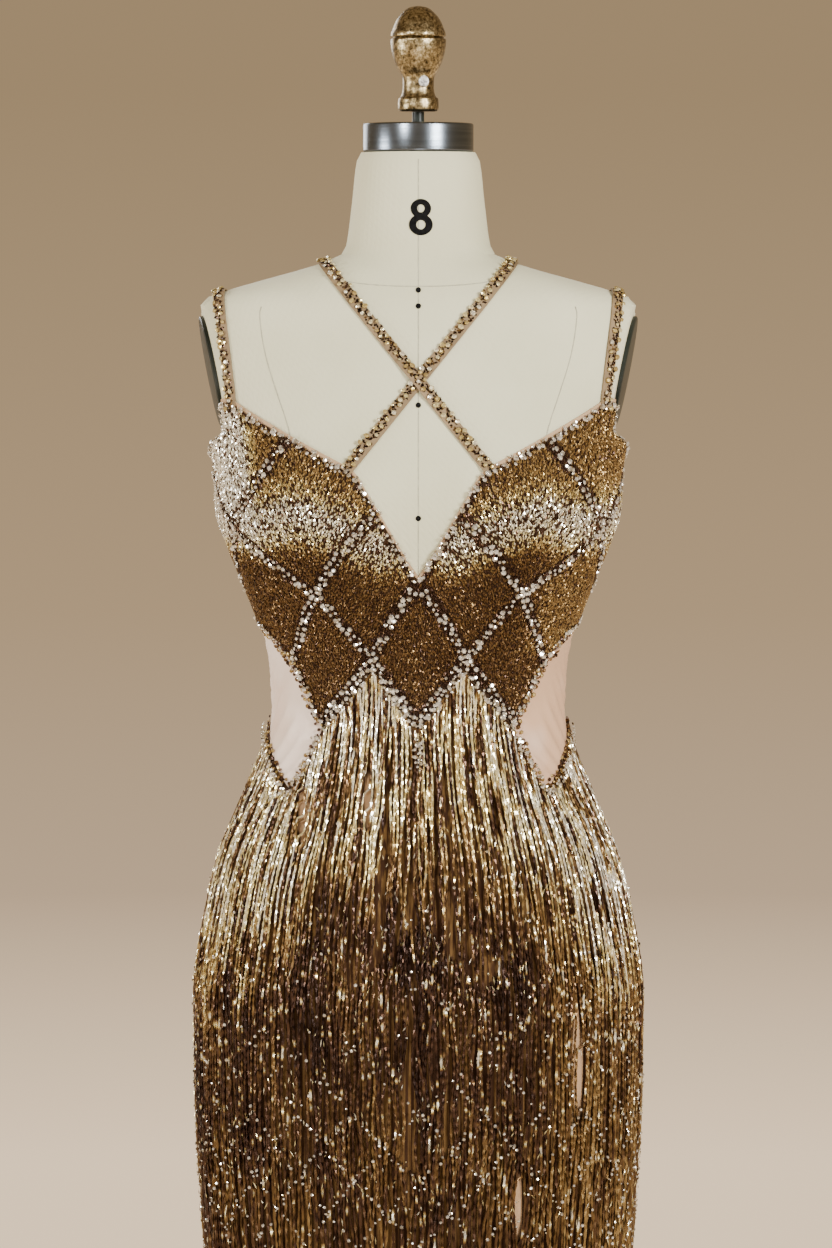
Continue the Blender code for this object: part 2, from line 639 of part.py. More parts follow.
def main():
    collection, helpers = start()
    form = surface(make_form(collection))
    skirt = make_skirt(form, collection)
    bodice = make_bodice(form, collection)
    make_cutouts(form, collection)
    under = list(skirt.gores)
    for name in reversed(TIERS):
        under.append(surface(make_fringe(name, TIERS[name], skirt, under, collection)))
    front = bodice["bodice_front"]
    make_lattice("lattice_front", [(front, 1), (front, -1)], FRONT_LATTICE, collection, helpers)
    for side, word in ((1, "right"), (-1, "left")):
        panel = bodice[f"bodice_back_{word}"]
        make_lattice(f"lattice_back_{word}", [(panel, side)], BACK_LATTICE, collection, helpers)
        make_arm_plate(f"form_arm_plate_{word}", side, collection)
    below = [form] + [surface(panel.solid) for panel in bodice.values()]
    for name, spec in STRAPS.items():
        below.append(surface(make_strap(name, spec, form, below, collection)))
    turned("form_neck_plate", NECK_PLATE, 28, "steel", collection)
    turned("form_rod", ROD, 10, "dark", collection)
    turned("form_knob", KNOB, 18, "bronze", collection)
    make_knob_screw(collection)
    turned("stand_flange", FLANGE, 20, "iron", collection)
    turned("stand_pole", POLE, 16, "iron", collection)
    turned("stand_base", BASE, 28, "iron", collection)


main()
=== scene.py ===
# %% [markdown]
# A beaded fringe mermaid gown on a dress form.
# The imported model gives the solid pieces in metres: +Z is up, the front faces -Y and the floor is Z = 0.
# This lesson dresses them: cloth shells, beads, crystals and fringe, each worked out as arrays with numpy.

# %% Load the frame
import math

import bpy
import numpy as np
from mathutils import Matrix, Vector


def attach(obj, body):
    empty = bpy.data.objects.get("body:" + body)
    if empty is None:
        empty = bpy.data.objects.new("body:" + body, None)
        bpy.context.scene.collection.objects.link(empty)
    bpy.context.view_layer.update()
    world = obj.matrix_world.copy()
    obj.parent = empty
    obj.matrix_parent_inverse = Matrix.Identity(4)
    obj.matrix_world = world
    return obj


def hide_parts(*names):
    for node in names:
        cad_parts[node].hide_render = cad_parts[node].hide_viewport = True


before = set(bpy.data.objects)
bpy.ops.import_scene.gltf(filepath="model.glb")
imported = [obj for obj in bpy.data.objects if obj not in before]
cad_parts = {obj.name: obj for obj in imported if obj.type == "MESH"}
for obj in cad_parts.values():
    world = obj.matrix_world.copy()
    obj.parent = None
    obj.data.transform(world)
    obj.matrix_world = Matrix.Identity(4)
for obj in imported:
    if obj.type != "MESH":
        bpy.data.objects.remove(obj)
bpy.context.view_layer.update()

# %% [markdown]
# The camera stands well back, as a photographer does for clothes, so the lens is long.
# It looks from just above chest height, a little downwards, and frames the gown from knob to knee.

# %% Camera
EYE = Vector((-0.002, -3.50, 1.476))
AIM = Vector((-0.002, 0.0, 1.147))
LENS = 114.5  # mm, on a 36 mm long side

camera = bpy.data.objects.new("camera", bpy.data.cameras.new("camera"))
bpy.context.scene.collection.objects.link(camera)
camera.location = EYE
camera.rotation_euler = (AIM - EYE).to_track_quat("-Z", "Y").to_euler()
camera.data.lens = LENS
camera.data.sensor_width = 36
bpy.context.scene.camera = camera
print("camera", round((AIM - EYE).length, 2), "m from the form's axis")

# %% [markdown]
# Every shape below is a grid of points, so one helper turns arrays into a mesh.
# foreach_set fills Blender's own arrays at once, which is far quicker than adding vertices one by one.

# %% Mesh helpers
def add_mesh(name, points, faces, look, slot=None, node=None, smooth=False, sharp=None, **values):
    """A mesh object that rides on the body, from points (n, 3) and faces (m, corners), whose outside is seen
    counter-clockwise. slot is not used, and node is the solid that it stands for.
    sharp is the angle in degrees past which an edge stays sharp. Each extra value is a number for every
    point, kept as an attribute that the material reads."""
    mesh = bpy.data.meshes.new(name)
    points = np.ascontiguousarray(points, np.float32).reshape(-1, 3)
    faces = np.ascontiguousarray(faces, np.int32)
    count, corners = faces.shape
    mesh.vertices.add(len(points))
    mesh.vertices.foreach_set("co", points.ravel())
    mesh.loops.add(count * corners)
    mesh.loops.foreach_set("vertex_index", faces.ravel())
    mesh.polygons.add(count)
    mesh.polygons.foreach_set("loop_start", np.arange(count, dtype=np.int32) * corners)
    mesh.polygons.foreach_set("use_smooth", np.full(count, smooth))
    for key, value in values.items():
        numbers = np.asarray(value, np.float32).ravel()
        mesh.attributes.new(key, "FLOAT", "POINT").data.foreach_set("value", numbers)
    mesh.update(calc_edges=True)
    mesh.materials.append(look)
    piece = bpy.data.objects.new(name, mesh)
    bpy.context.scene.collection.objects.link(piece)
    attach(piece, "root")
    if sharp:
        mesh.set_sharp_from_angle(angle=math.radians(sharp))
    if node:
        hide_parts(node)
    print(f"{name}: {count * (corners - 2)} triangles")
    return piece


def sheet_faces(rows, columns):
    """Four-cornered faces of a closed wall: its outer grid, its inner grid turned round, and the rim."""
    grid = np.arange(rows * columns).reshape(rows, columns)
    quads = np.stack([grid[:-1, :-1], grid[:-1, 1:], grid[1:, 1:], grid[1:, :-1]], axis=-1).reshape(-1, 4)
    rim = np.concatenate([grid[0], grid[1:, -1], grid[-1, -2::-1], grid[-2::-1, 0]])
    start, end, inner = rim[:-1], rim[1:], rows * columns
    edge = np.stack([start + inner, end + inner, end, start], axis=-1)
    return np.concatenate([quads, quads[:, ::-1] + inner, edge])


def tube_faces(rings, sides):
    """Three-cornered faces of a tube of rings. Each end is a fan from a middle point after the rings."""
    ring, side = np.meshgrid(np.arange(rings - 1), np.arange(sides), indexing="ij")
    a, b = ring * sides + side, ring * sides + (side + 1) % sides
    walls = np.concatenate([np.stack([a, b, b + sides], -1), np.stack([a, b + sides, a + sides], -1)])
    turn = np.arange(sides)
    after, top = (turn + 1) % sides, (rings - 1) * sides
    low = np.stack([np.full(sides, rings * sides), after, turn], -1)
    high = np.stack([np.full(sides, rings * sides + 1), top + turn, top + after], -1)
    return np.concatenate([walls.reshape(-1, 3), low, high])


def joined(parts):
    """Several point and face arrays as one."""
    starts = np.cumsum([0] + [len(points) for points, _ in parts[:-1]])
    return np.concatenate([p for p, _ in parts]), np.concatenate([f + s for (_, f), s in zip(parts, starts)])


def unit(ways):
    """Directions made one long: each divided by its length."""
    return ways / np.maximum(np.linalg.norm(ways, axis=-1, keepdims=True), 1e-9)


def round_turn(count):
    """Angles that share a whole turn, the last one short of the first."""
    return np.arange(count) / count * math.tau


def lengths(path):
    """How far along a path each of its points lies."""
    return np.concatenate([[0], np.cumsum(np.linalg.norm(np.diff(path, axis=0), axis=1))])


def read_along(at, along, rows):
    """Each column of the rows, known at places along a path, read at other places."""
    return np.stack([np.interp(at, along, column) for column in rows.T], axis=1)


print("mesh helpers: a wall of 3 by 3 points has", len(sheet_faces(3, 3)), "faces")

# %% [markdown]
# The gown follows the form, so all cloth starts from one body surface.
# It is a table of widths and depths at a few heights, with a smooth curve through them and a squared oval at
# each. The bust is a soft hump on each side, and the ends of the shoulders are cut flat.

# %% The body surface
# Columns: height, half width, front depth, back depth, squareness of the oval
BODY = np.array([
    (0.004, 0.360, 0.360, 0.360, 2.0),
    (0.130, 0.315, 0.300, 0.300, 2.0),
    (0.260, 0.249, 0.215, 0.215, 2.0),
    (0.380, 0.194, 0.146, 0.146, 2.1),
    (0.500, 0.172, 0.114, 0.114, 2.1),
    (0.580, 0.184, 0.118, 0.118, 2.1),
    (0.740, 0.1925, 0.119, 0.121, 2.2),
    (0.820, 0.1930, 0.120, 0.123, 2.2),
    (0.900, 0.1810, 0.115, 0.114, 2.2),
    (0.940, 0.1710, 0.111, 0.107, 2.2),
    (0.975, 0.1570, 0.105, 0.097, 2.2),
    (1.010, 0.1425, 0.099, 0.087, 2.2),
    (1.045, 0.1320, 0.094, 0.080, 2.2),
    (1.080, 0.1270, 0.092, 0.077, 2.2),
    (1.105, 0.1275, 0.095, 0.078, 2.2),
    (1.130, 0.1310, 0.100, 0.081, 2.3),
    (1.160, 0.1420, 0.107, 0.086, 2.3),
    (1.190, 0.1540, 0.113, 0.091, 2.3),
    (1.220, 0.1660, 0.117, 0.096, 2.3),
    (1.250, 0.1755, 0.119, 0.100, 2.3),
    (1.285, 0.1770, 0.117, 0.103, 2.3),
    (1.318, 0.1840, 0.110, 0.104, 2.2),
    (1.350, 0.1950, 0.103, 0.101, 2.1),
    (1.390, 0.2000, 0.091, 0.093, 2.1),
    (1.420, 0.1970, 0.080, 0.084, 2.1),
    (1.436, 0.1840, 0.074, 0.079, 2.1),
    (1.445, 0.1560, 0.069, 0.075, 2.1),
    (1.455, 0.1200, 0.064, 0.071, 2.1),
    (1.465, 0.0850, 0.060, 0.067, 2.0),
    (1.476, 0.0645, 0.057, 0.062, 2.0),
    (1.515, 0.0585, 0.055, 0.057, 2.0),
    (1.556, 0.0535, 0.052, 0.052, 2.0),
    (1.5617, 0.0500, 0.049, 0.049, 2.0),
])
FORM_BOTTOM, FORM_TOP = 0.74, BODY[-1, 0]
BUST = {"side": 0.082, "height": 1.258, "depth": 0.022, "wide": 0.060, "tall": 0.066}
ARM_FLAT = {"x": 0.185, "height": 1.397, "lean": 0.19, "turn": 0.12, "ends": 1.318, "fade": 1.2, "low": 1.29}
FLUTES = 6
FLUTE_DEPTH = np.array([(0.004, 0.016), (0.130, 0.012), (0.260, 0.007), (0.380, 0.0)])
TURN_STEP, RISE_STEP = 0.03, 0.004  # how far aside and up the surface is felt for its slope


def smooth_curve(x, xs, ys):
    """A smooth curve through points that never overshoots them: at each point the slope is the harmonic mean
    of the slopes beside it, and between two points it is the cubic with those end slopes."""
    step = np.diff(xs)
    slope = np.diff(ys) / step
    before, after = slope[:-1], slope[1:]
    same = before * after > 0
    mean = np.where(same, 2 * before * after / np.where(same, before + after, 1), 0)
    ends = np.concatenate([slope[:1], mean, slope[-1:]])
    i = np.clip(np.searchsorted(xs, x) - 1, 0, len(step) - 1)
    t = (x - xs[i]) / step[i]
    rise = ys[i] * (1 - t) ** 2 * (1 + 2 * t) + ys[i + 1] * t**2 * (3 - 2 * t)
    return rise + step[i] * t * (1 - t) * (ends[i] * (1 - t) - ends[i + 1] * t)


def section_at(height):
    """Half width, front depth, back depth and squareness of the body at heights."""
    return [smooth_curve(height, BODY[:, 0], BODY[:, k]) for k in range(1, 5)]


def bust_hump(x, height):
    """How far the bust stands out: two humps that fade to the sides, up and down as bell curves."""
    humps = sum(np.exp(-(((x - s * BUST["side"]) / BUST["wide"]) ** 2)) for s in (-1, 1))
    return BUST["depth"] * (humps * np.exp(-(((height - BUST["height"]) / BUST["tall"]) ** 2)))


def arm_flat(y, height):
    """How far out the flat end of the shoulder lies: a leaning plane that fades away below the armhole."""
    flat = ARM_FLAT["x"] + ARM_FLAT["lean"] * (height - ARM_FLAT["height"]) + ARM_FLAT["turn"] * y
    faded = flat + ARM_FLAT["fade"] * np.maximum(0, ARM_FLAT["ends"] - height)
    return np.where(height >= ARM_FLAT["low"], faded, 1.0)


def body(angle, height):
    """Points of the body surface at angles (0 front, a quarter turn at +X) and heights:
    a squared oval, plus the bust's two humps, less what the flat shoulder ends cut, plus the hem's flutes."""
    angle, height = np.broadcast_arrays(np.asarray(angle, float), np.asarray(height, float))
    half, front, back, square = section_at(height)
    sine, cosine = np.sin(angle), np.cos(angle)
    x = half * np.sign(sine) * np.abs(sine) ** (2 / square)
    y = -np.where(cosine > 0, front, back) * np.sign(cosine) * np.abs(cosine) ** (2 / square)
    y = y - bust_hump(x, height) * np.clip(cosine * 3, 0, 1)
    limit = arm_flat(y, height)
    x = np.clip(x, -limit, limit)
    out = np.cos(angle * FLUTES) * np.interp(height, FLUTE_DEPTH[:, 0], FLUTE_DEPTH[:, 1])
    return np.stack([x + out * sine, y - out * cosine, height], axis=-1)


def outward(angle, height):
    """Unit normals of the body surface: the direction round it crossed with the direction up it."""
    round_it = body(angle + TURN_STEP, height) - body(angle - TURN_STEP, height)
    up_it = body(angle, height + RISE_STEP) - body(angle, height - RISE_STEP)
    return unit(np.cross(round_it, up_it))


def on_body(angle, height, out):
    """Points a distance outside the body surface."""
    return body(angle, height) + outward(angle, height) * np.asarray(out)[..., None]


def even_angles(count, height, first=-180.0, last=180.0):
    """Angles that share the way round the body at a height into equal lengths: the middles of count parts."""
    fine = np.radians(np.linspace(first, last, 1441))
    along = lengths(body(fine, height))
    return np.interp((np.arange(count) + 0.5) / count * along[-1], along, fine)


print("hip half width", round(float(body(math.pi / 2, 0.82)[0]), 4), "m")

# %% [markdown]
# Materials come next. Each finish is a Principled shader with a few texture nodes, all in Object coordinates.
# Numbers that are the same everywhere are typed straight into the shader's own sockets.
# A node or a socket knows its own tree, as id_data, so the helpers ask for no more than the shader.

# %% Finish helpers
def finish(name, **sockets):
    """A material and its Principled shader, whose sockets take the given numbers."""
    look = bpy.data.materials.new(name)
    look.use_nodes = True
    shader = look.node_tree.nodes["Principled BSDF"]
    for key, value in sockets.items():
        shader.inputs[key.replace("_", " ")].default_value = value
    return look, shader


def add_node(tree, kind, **inputs):
    """A shader node of that kind with the given inputs, which are numbers or another node's output."""
    node = tree.nodes.new("ShaderNode" + kind)
    for key, value in inputs.items():
        socket = node.inputs[key]
        if isinstance(value, bpy.types.NodeSocket):
            tree.links.new(value, socket)
        else:
            socket.default_value = value
    return node


def combine(operation, first, second):
    """The result of a Math node: an operation on another node's output and a second output or number."""
    tree = first.id_data
    node = add_node(tree, "Math")
    node.operation = operation
    tree.links.new(first, node.inputs[0])
    if isinstance(second, bpy.types.NodeSocket):
        tree.links.new(second, node.inputs[1])
    else:
        node.inputs[1].default_value = second
    return node.outputs["Value"]


def colour_ramp(factor, stops):
    """Colours between stops of (place, red, green, blue), read at the factor."""
    ramp = add_node(factor.id_data, "ValToRGB", Fac=factor)
    while len(ramp.color_ramp.elements) < len(stops):
        ramp.color_ramp.elements.new(0.5)
    for element, (place, *colour) in zip(ramp.color_ramp.elements, stops):
        element.position = place
        element.color = (*colour, 1)
    return ramp.outputs["Color"]


def paint(shader, factor, *stops, socket="Base Color"):
    """The shader's colour, or another socket, follows a colour ramp read at the factor."""
    shader.id_data.links.new(colour_ramp(factor, stops), shader.inputs[socket])


def attribute(shader, name):
    """The value that a piece's points carry under that name."""
    node = add_node(shader.id_data, "Attribute")
    node.attribute_name = name
    return node.outputs["Fac"]


def object_place(shader, scale=(1, 1, 1), turn=(0, 0, 0)):
    """Object coordinates, stretched and turned."""
    tree = shader.id_data
    place = add_node(tree, "TexCoord").outputs["Object"]
    return add_node(tree, "Mapping", Vector=place, Scale=scale, Rotation=turn).outputs["Vector"]


def axes(shader):
    """Object coordinates as three separate outputs, X, Y and Z."""
    return add_node(shader.id_data, "SeparateXYZ", Vector=object_place(shader)).outputs


def noise(shader, fine, scale=(1, 1, 1), **inputs):
    """Clouds of noise in Object coordinates, finer as the number grows, and longer where scale is small."""
    place = object_place(shader, scale)
    return add_node(shader.id_data, "TexNoise", Vector=place, Scale=fine, **inputs).outputs["Fac"]


def threads(shader, size):
    """Crossed threads: the larger of two sets of bands, one turned a quarter from the other."""
    bands = []
    for turn in ((0, 0, 0.785), (0, 0.785, 0)):
        wave = add_node(shader.id_data, "TexWave", Vector=object_place(shader, turn=turn), Scale=1 / size)
        bands.append(wave.outputs["Fac"])
    return combine("MAXIMUM", *bands)


def bump(shader, height, strength, distance):
    """Raises the surface's look by a height texture."""
    node = add_node(shader.id_data, "Bump", Height=height, Strength=strength, Distance=distance)
    shader.id_data.links.new(node.outputs["Normal"], shader.inputs["Normal"])


print("shaders start from", len(bpy.data.materials), "materials")

# %% [markdown]
# Glass-lined beads run from dark brown through old gold to a champagne that looks white where light falls.
# One ramp holds those colours. Every bead carries its own place on it, so neighbours differ as real beads do.

# %% Bead and crystal finishes
BEAD_COLOURS = (
    (0.00, 0.012, 0.005, 0.004), (0.14, 0.070, 0.033, 0.018), (0.30, 0.165, 0.092, 0.031),
    (0.48, 0.340, 0.220, 0.080), (0.68, 0.620, 0.485, 0.200), (0.85, 0.880, 0.780, 0.430),
    (1.00, 1.000, 0.970, 0.840),
)
BEAD_ROUGHNESS = ((0.0, 0.26), (0.30, 0.30), (0.46, 0.36), (0.80, 0.19))

BEADS, shader = finish("gold_beads", Metallic=0.75)
tone = attribute(shader, "tone")
paint(shader, tone, *BEAD_COLOURS)
paint(shader, tone, *((place, dull, dull, dull) for place, dull in BEAD_ROUGHNESS), socket="Roughness")

CRYSTAL, shader = finish("cut_crystal", Metallic=0.78, Roughness=0.05)
# Painted reflections: fine noise makes the facets of each stone grey or white.
paint(shader, noise(shader, 300.0), (0.42, 0.50, 0.45, 0.35), (0.56, 1.0, 0.98, 0.92))
print("beads have", len(BEAD_COLOURS), "colours")

# %% [markdown]
# Under the beads lies a fine net backing, skin-coloured along the bound edges and dark brown where beads
# cover it, the dark brown being painted shade between the beads. Behind the fringe it is streaked like the
# strands in the same painted shade, and bare and skin-coloured at a few slits, where the strands part.
# The side cut-outs are the same net without beads, with painted light and shade across them: paler on the
# left, darker tan on the right. Crossed waves give the threads.

# %% Cloth finishes
NET_THREAD = 0.02
SLITS = (
    {"x": 0.138, "low": 0.711, "high": 0.824, "half": 0.0035},
    {"x": -0.099, "low": 0.955, "high": 1.024, "half": 0.0032},
    {"x": -0.043, "low": 0.975, "high": 1.030, "half": 0.0022},
    {"x": 0.086, "low": 0.610, "high": 0.690, "half": 0.0026},
)


def slit_middle(slit):
    """The height of a slit's middle, and how far it reaches up and down."""
    return (slit["low"] + slit["high"]) / 2, (slit["high"] - slit["low"]) / 2


def from_slits(shader):
    """How far a place is from the nearest slit: the squares of its shares of the half sizes, added."""
    place = axes(shader)
    nearest = None
    for slit in SLITS:
        middle, reach = slit_middle(slit)
        squares = []
        for axis, centre, size in (("X", slit["x"], slit["half"] * 2.2), ("Z", middle, reach * 1.1)):
            share = combine("MULTIPLY", combine("ADD", place[axis], -centre), 1 / size)
            squares.append(combine("MULTIPLY", share, share))
        distance = combine("ADD", *squares)
        nearest = distance if nearest is None else combine("MINIMUM", nearest, distance)
    return nearest


BACKING, shader = finish("bead_backing", Roughness=0.9, Specular_IOR_Level=0.1)
# Painted shade: dark brown where beads cover the backing, skin-coloured only along the bound edges.
paint(shader, attribute(shader, "edge"), (0.30, 0.040, 0.021, 0.010), (0.60, 0.50, 0.34, 0.20))
bump(shader, threads(shader, NET_THREAD), 0.3, 0.0004)

SKIRT_BACKING, shader = finish("skirt_backing", Roughness=0.9, Specular_IOR_Level=0.1)
# Painted shade: dark brown streaks behind the strands, skin-coloured at the slits.
covered = combine("MINIMUM", from_slits(shader), 1.0)
streaks = noise(shader, 420.0, scale=(1, 1, 0.02), Detail=3.0)
paint(
    shader, combine("ADD", combine("ADD", covered, streaks), -0.8),
    (0.0, 0.50, 0.32, 0.18), (0.40, 0.042, 0.019, 0.009),
    (0.66, 0.042, 0.019, 0.009), (0.80, 0.15, 0.082, 0.028),
)
bump(shader, threads(shader, NET_THREAD), 0.3, 0.0004)

NET, shader = finish("nude_net", Roughness=0.7, Sheen_Weight=0.15, Sheen_Roughness=0.4)
# Painted light and shade: the net is made paler on the left and darker tan on the right.
painted_light_across = combine("ADD", combine("MULTIPLY", axes(shader)["X"], 2.2), noise(shader, 14.0))
paint(shader, painted_light_across, (0.2, 0.92, 0.76, 0.64), (0.68, 0.61, 0.385, 0.235))
bump(shader, threads(shader, NET_THREAD), 0.35, 0.0003)

TAPE, shader = finish("strap_tape", Roughness=0.7)
paint(shader, noise(shader, 60.0), (0.3, 0.19, 0.128, 0.062), (0.7, 0.28, 0.195, 0.102))
print("the skirt's backing is bare at", len(SLITS), "slits")

# %% [markdown]
# The form is padded and covered in linen: fine crossed threads, faint stains and a matt surface.
# Its fittings are a brushed steel neck plate, a worn bronze knob, dark arm plates and a black iron stand.

# %% Form and stand finishes
LINEN, shader = finish("linen_cover", Roughness=0.9, Sheen_Weight=0.15)
paint(shader, noise(shader, 9.0, Detail=6.0), (0.30, 0.64, 0.63, 0.42), (0.70, 0.735, 0.72, 0.505))
bump(shader, threads(shader, 0.016), 0.35, 0.0004)

SHADED_SEAM, shader = finish("shaded_linen_seam", Roughness=0.95)
# Painted shade: the seam linen is darker than the cover.
paint(shader, noise(shader, 220.0), (0.3, 0.38, 0.37, 0.27), (0.7, 0.52, 0.50, 0.37))

STEEL, shader = finish("brushed_plate", Metallic=1.0, Roughness=0.24)
brush = noise(shader, 12.0, scale=(1, 1, 60))
paint(shader, brush, (0.3, 0.110, 0.130, 0.150), (0.7, 0.170, 0.195, 0.225))
bump(shader, brush, 0.15, 0.0003)

BRIGHT, shader = finish("bright_screw", Metallic=0.6, Roughness=0.35)
paint(shader, noise(shader, 500.0), (0.35, 0.30, 0.30, 0.29), (0.55, 0.86, 0.87, 0.85))

BRONZE, shader = finish("worn_bronze", Metallic=1.0, Roughness=0.30)
wear = noise(shader, 330.0, Detail=9.0, Roughness=0.75)
paint(shader, wear, (0.38, 0.032, 0.021, 0.009), (0.51, 0.26, 0.198, 0.098), (0.67, 0.72, 0.61, 0.38))
bump(shader, wear, 0.35, 0.0006)

INKED, shader = finish("black_ink", Roughness=0.8, Specular_IOR_Level=0.1)
paint(shader, noise(shader, 400.0), (0.3, 0.002, 0.002, 0.002), (0.7, 0.008, 0.008, 0.008))

DARK, shader = finish("arm_plate", Roughness=0.38, Specular_IOR_Level=0.3)
paint(shader, noise(shader, 30.0), (0.3, 0.008, 0.012, 0.009), (0.7, 0.022, 0.028, 0.022))

IRON, shader = finish("black_iron", Metallic=0.6, Roughness=0.45)
grain = noise(shader, 250.0)
paint(shader, grain, (0.3, 0.018, 0.018, 0.018), (0.7, 0.045, 0.045, 0.045))
bump(shader, grain, 0.3, 0.0003)
print("finishes", [look.name for look in (LINEN, SHADED_SEAM, STEEL, BRIGHT, BRONZE, INKED, DARK, IRON)])

# %% [markdown]
# The form itself is a stack of body rings, closed at the bottom and under the neck plate.
# A loft of curves would do too, but rings from the one body surface keep form and cloth in step.

# %% The form
FORM_RINGS, FORM_SIDES = 112, 120

rise = np.linspace(FORM_BOTTOM, FORM_TOP, FORM_RINGS)
rings = body(round_turn(FORM_SIDES), rise[:, None]).reshape(-1, 3)
add_mesh(
    "form_cover", np.concatenate([rings, [(0, 0, FORM_BOTTOM), (0, 0, FORM_TOP)]]),
    tube_faces(FORM_RINGS, FORM_SIDES), LINEN, "linen", "form_torso", smooth=True, sharp=35,
)

# %% [markdown]
# A padded form is sewn from panels. Its seams are thin cords of linen, laid along the body: the centre,
# princess and neck seams, front and back. Their linen is darker than the cover, as painted shade along the
# seams. A cord is an oval section carried along a path.

# %% Seams of the form
SEAM_WIDTH, SEAM_HEIGHT, SEAM_SINK = 0.0010, 0.0005, 0.0002
CORD_SIDES = 6
CENTRE_SEAM = np.linspace(FORM_BOTTOM + 0.01, 1.555, 120)
PRINCESS_SEAM = np.linspace(0.80, 1.428, 140)
PRINCESS_DEGREES = np.interp(PRINCESS_SEAM, (0.80, 1.08, 1.26, 1.34, 1.43), (24, 22, 30, 36, 44))
BACK_SHARE = 0.85  # the back princess seams lie a little nearer the centre
NECK_SEAM, NECK_DIP = 1.4690, 0.0235


def body_cord(angle, height):
    """An oval cord on the body: at each point a ring, half the seam's width aside and half its height out."""
    up = outward(angle, height)
    path = body(angle, height) + up * (SEAM_HEIGHT / 2 - SEAM_SINK)
    side = unit(np.cross(np.gradient(path, axis=0), up))
    turn = round_turn(CORD_SIDES)[:, None]
    aside = np.cos(turn) * side[:, None] * SEAM_WIDTH / 2
    points = path[:, None] + aside - np.sin(turn) * up[:, None] * SEAM_HEIGHT / 2
    return np.concatenate([points.reshape(-1, 3), path[:1], path[-1:]]), tube_faces(len(path), CORD_SIDES)


seams = [body_cord(np.full(len(CENTRE_SEAM), middle), CENTRE_SEAM) for middle in (0.0, math.pi)]
for sign in (-1, 1):
    for degrees in (PRINCESS_DEGREES, 180 - PRINCESS_DEGREES * BACK_SHARE):
        seams.append(body_cord(sign * np.radians(degrees), PRINCESS_SEAM))
turn = np.linspace(-math.pi, math.pi, 161)
seams.append(body_cord(turn, NECK_SEAM - NECK_DIP * np.maximum(0, np.cos(turn)) ** 2))
add_mesh("form_seams", *joined(seams), SHADED_SEAM, "linen", smooth=True)

# %% [markdown]
# A form is marked for the dressmaker: black dots down the centre line, and its size number on the neck.
# The number is two rings, one above the other, each an oval hole in an oval, laid on the neck's own surface.

# %% Marks on the form
DOT_HEIGHTS = (1.4424, 1.4287, 1.3447, 1.2491)
DOT = ((0.0023, 0.0023), (0.0001, 0.0001), 0.0005)  # outer radii, inner radii and thickness
NUMBER_X = 0.0022
# Each ring of the number: height, outer radii, inner radii and thickness
NUMBER_RINGS = (
    (1.5125, (0.0088, 0.0082), (0.0032, 0.0034), 0.0004),
    (1.4985, (0.0102, 0.0092), (0.0040, 0.0040), 0.0005),
)
MARK_POINTS, MARK_GAP = 40, 0.0001


def front_angle(x, height):
    """The angle at which the front of the body reaches x: x worked out on a fine scale and read back."""
    fine = np.radians(np.linspace(-89, 89, 713))
    reach = body(fine, height[:, None])[..., 0]
    return np.array([np.interp(want, row, fine) for want, row in zip(x, reach)])


def ring_mark(x, height, outer, inner, thick):
    """A flat ring that lies on the front of the body: its oval edges are given as (across, up) radii."""
    turn = round_turn(MARK_POINTS)
    loops = []
    for (wide, tall), out in ((outer, 0.0), (outer, thick), (inner, thick), (inner, 0.0)):
        px, pz = x + wide * np.cos(turn), height + tall * np.sin(turn)
        loops.append(on_body(front_angle(px, pz), pz, out + MARK_GAP))
    loop, edge = np.meshgrid(np.arange(MARK_POINTS), np.arange(4), indexing="ij")
    here, there, after = loop * 4, (loop + 1) % MARK_POINTS * 4, (edge + 1) % 4
    faces = np.stack([here + edge, there + edge, there + after, here + after], -1)
    return np.stack(loops, axis=1).reshape(-1, 3), faces.reshape(-1, 4)


dots = [ring_mark(0.0, height, *DOT) for height in DOT_HEIGHTS]
add_mesh("form_dots", *joined(dots), INKED, "arm_plate")
number = [ring_mark(NUMBER_X, *ring) for ring in NUMBER_RINGS]
add_mesh("form_size_number", *joined(number), INKED, "arm_plate")

# %% [markdown]
# The neck plate, rod, knob, pole and base are turned on a lathe, so each is a profile carried round the axis.
# The knob's corners are rounded by a smooth curve, four steps from one of its points to the next.

# %% Turned pieces
def turned(name, profile, look, slot, node, sides, fine=1):
    """A profile of (radius, height) from the bottom up, carried round the Z axis. fine is how many steps a
    smooth curve takes between two points of it."""
    profile = np.array(profile, float)
    along = lengths(profile)
    steps = [np.linspace(a, b, fine, endpoint=False) for a, b in zip(along, along[1:])]
    place = np.concatenate(steps + [along[-1:]])
    radius, rise = (smooth_curve(place, along, profile[:, k])[:, None] for k in (0, 1))
    turn = round_turn(sides)
    points = np.stack([radius * np.cos(turn), radius * np.sin(turn), rise + 0 * turn], axis=-1).reshape(-1, 3)
    ends = [(0, 0, profile[0, 1]), (0, 0, profile[-1, 1])]
    faces = tube_faces(len(place), sides)
    add_mesh(name, np.concatenate([points, ends]), faces, look, slot, node, smooth=True, sharp=40)


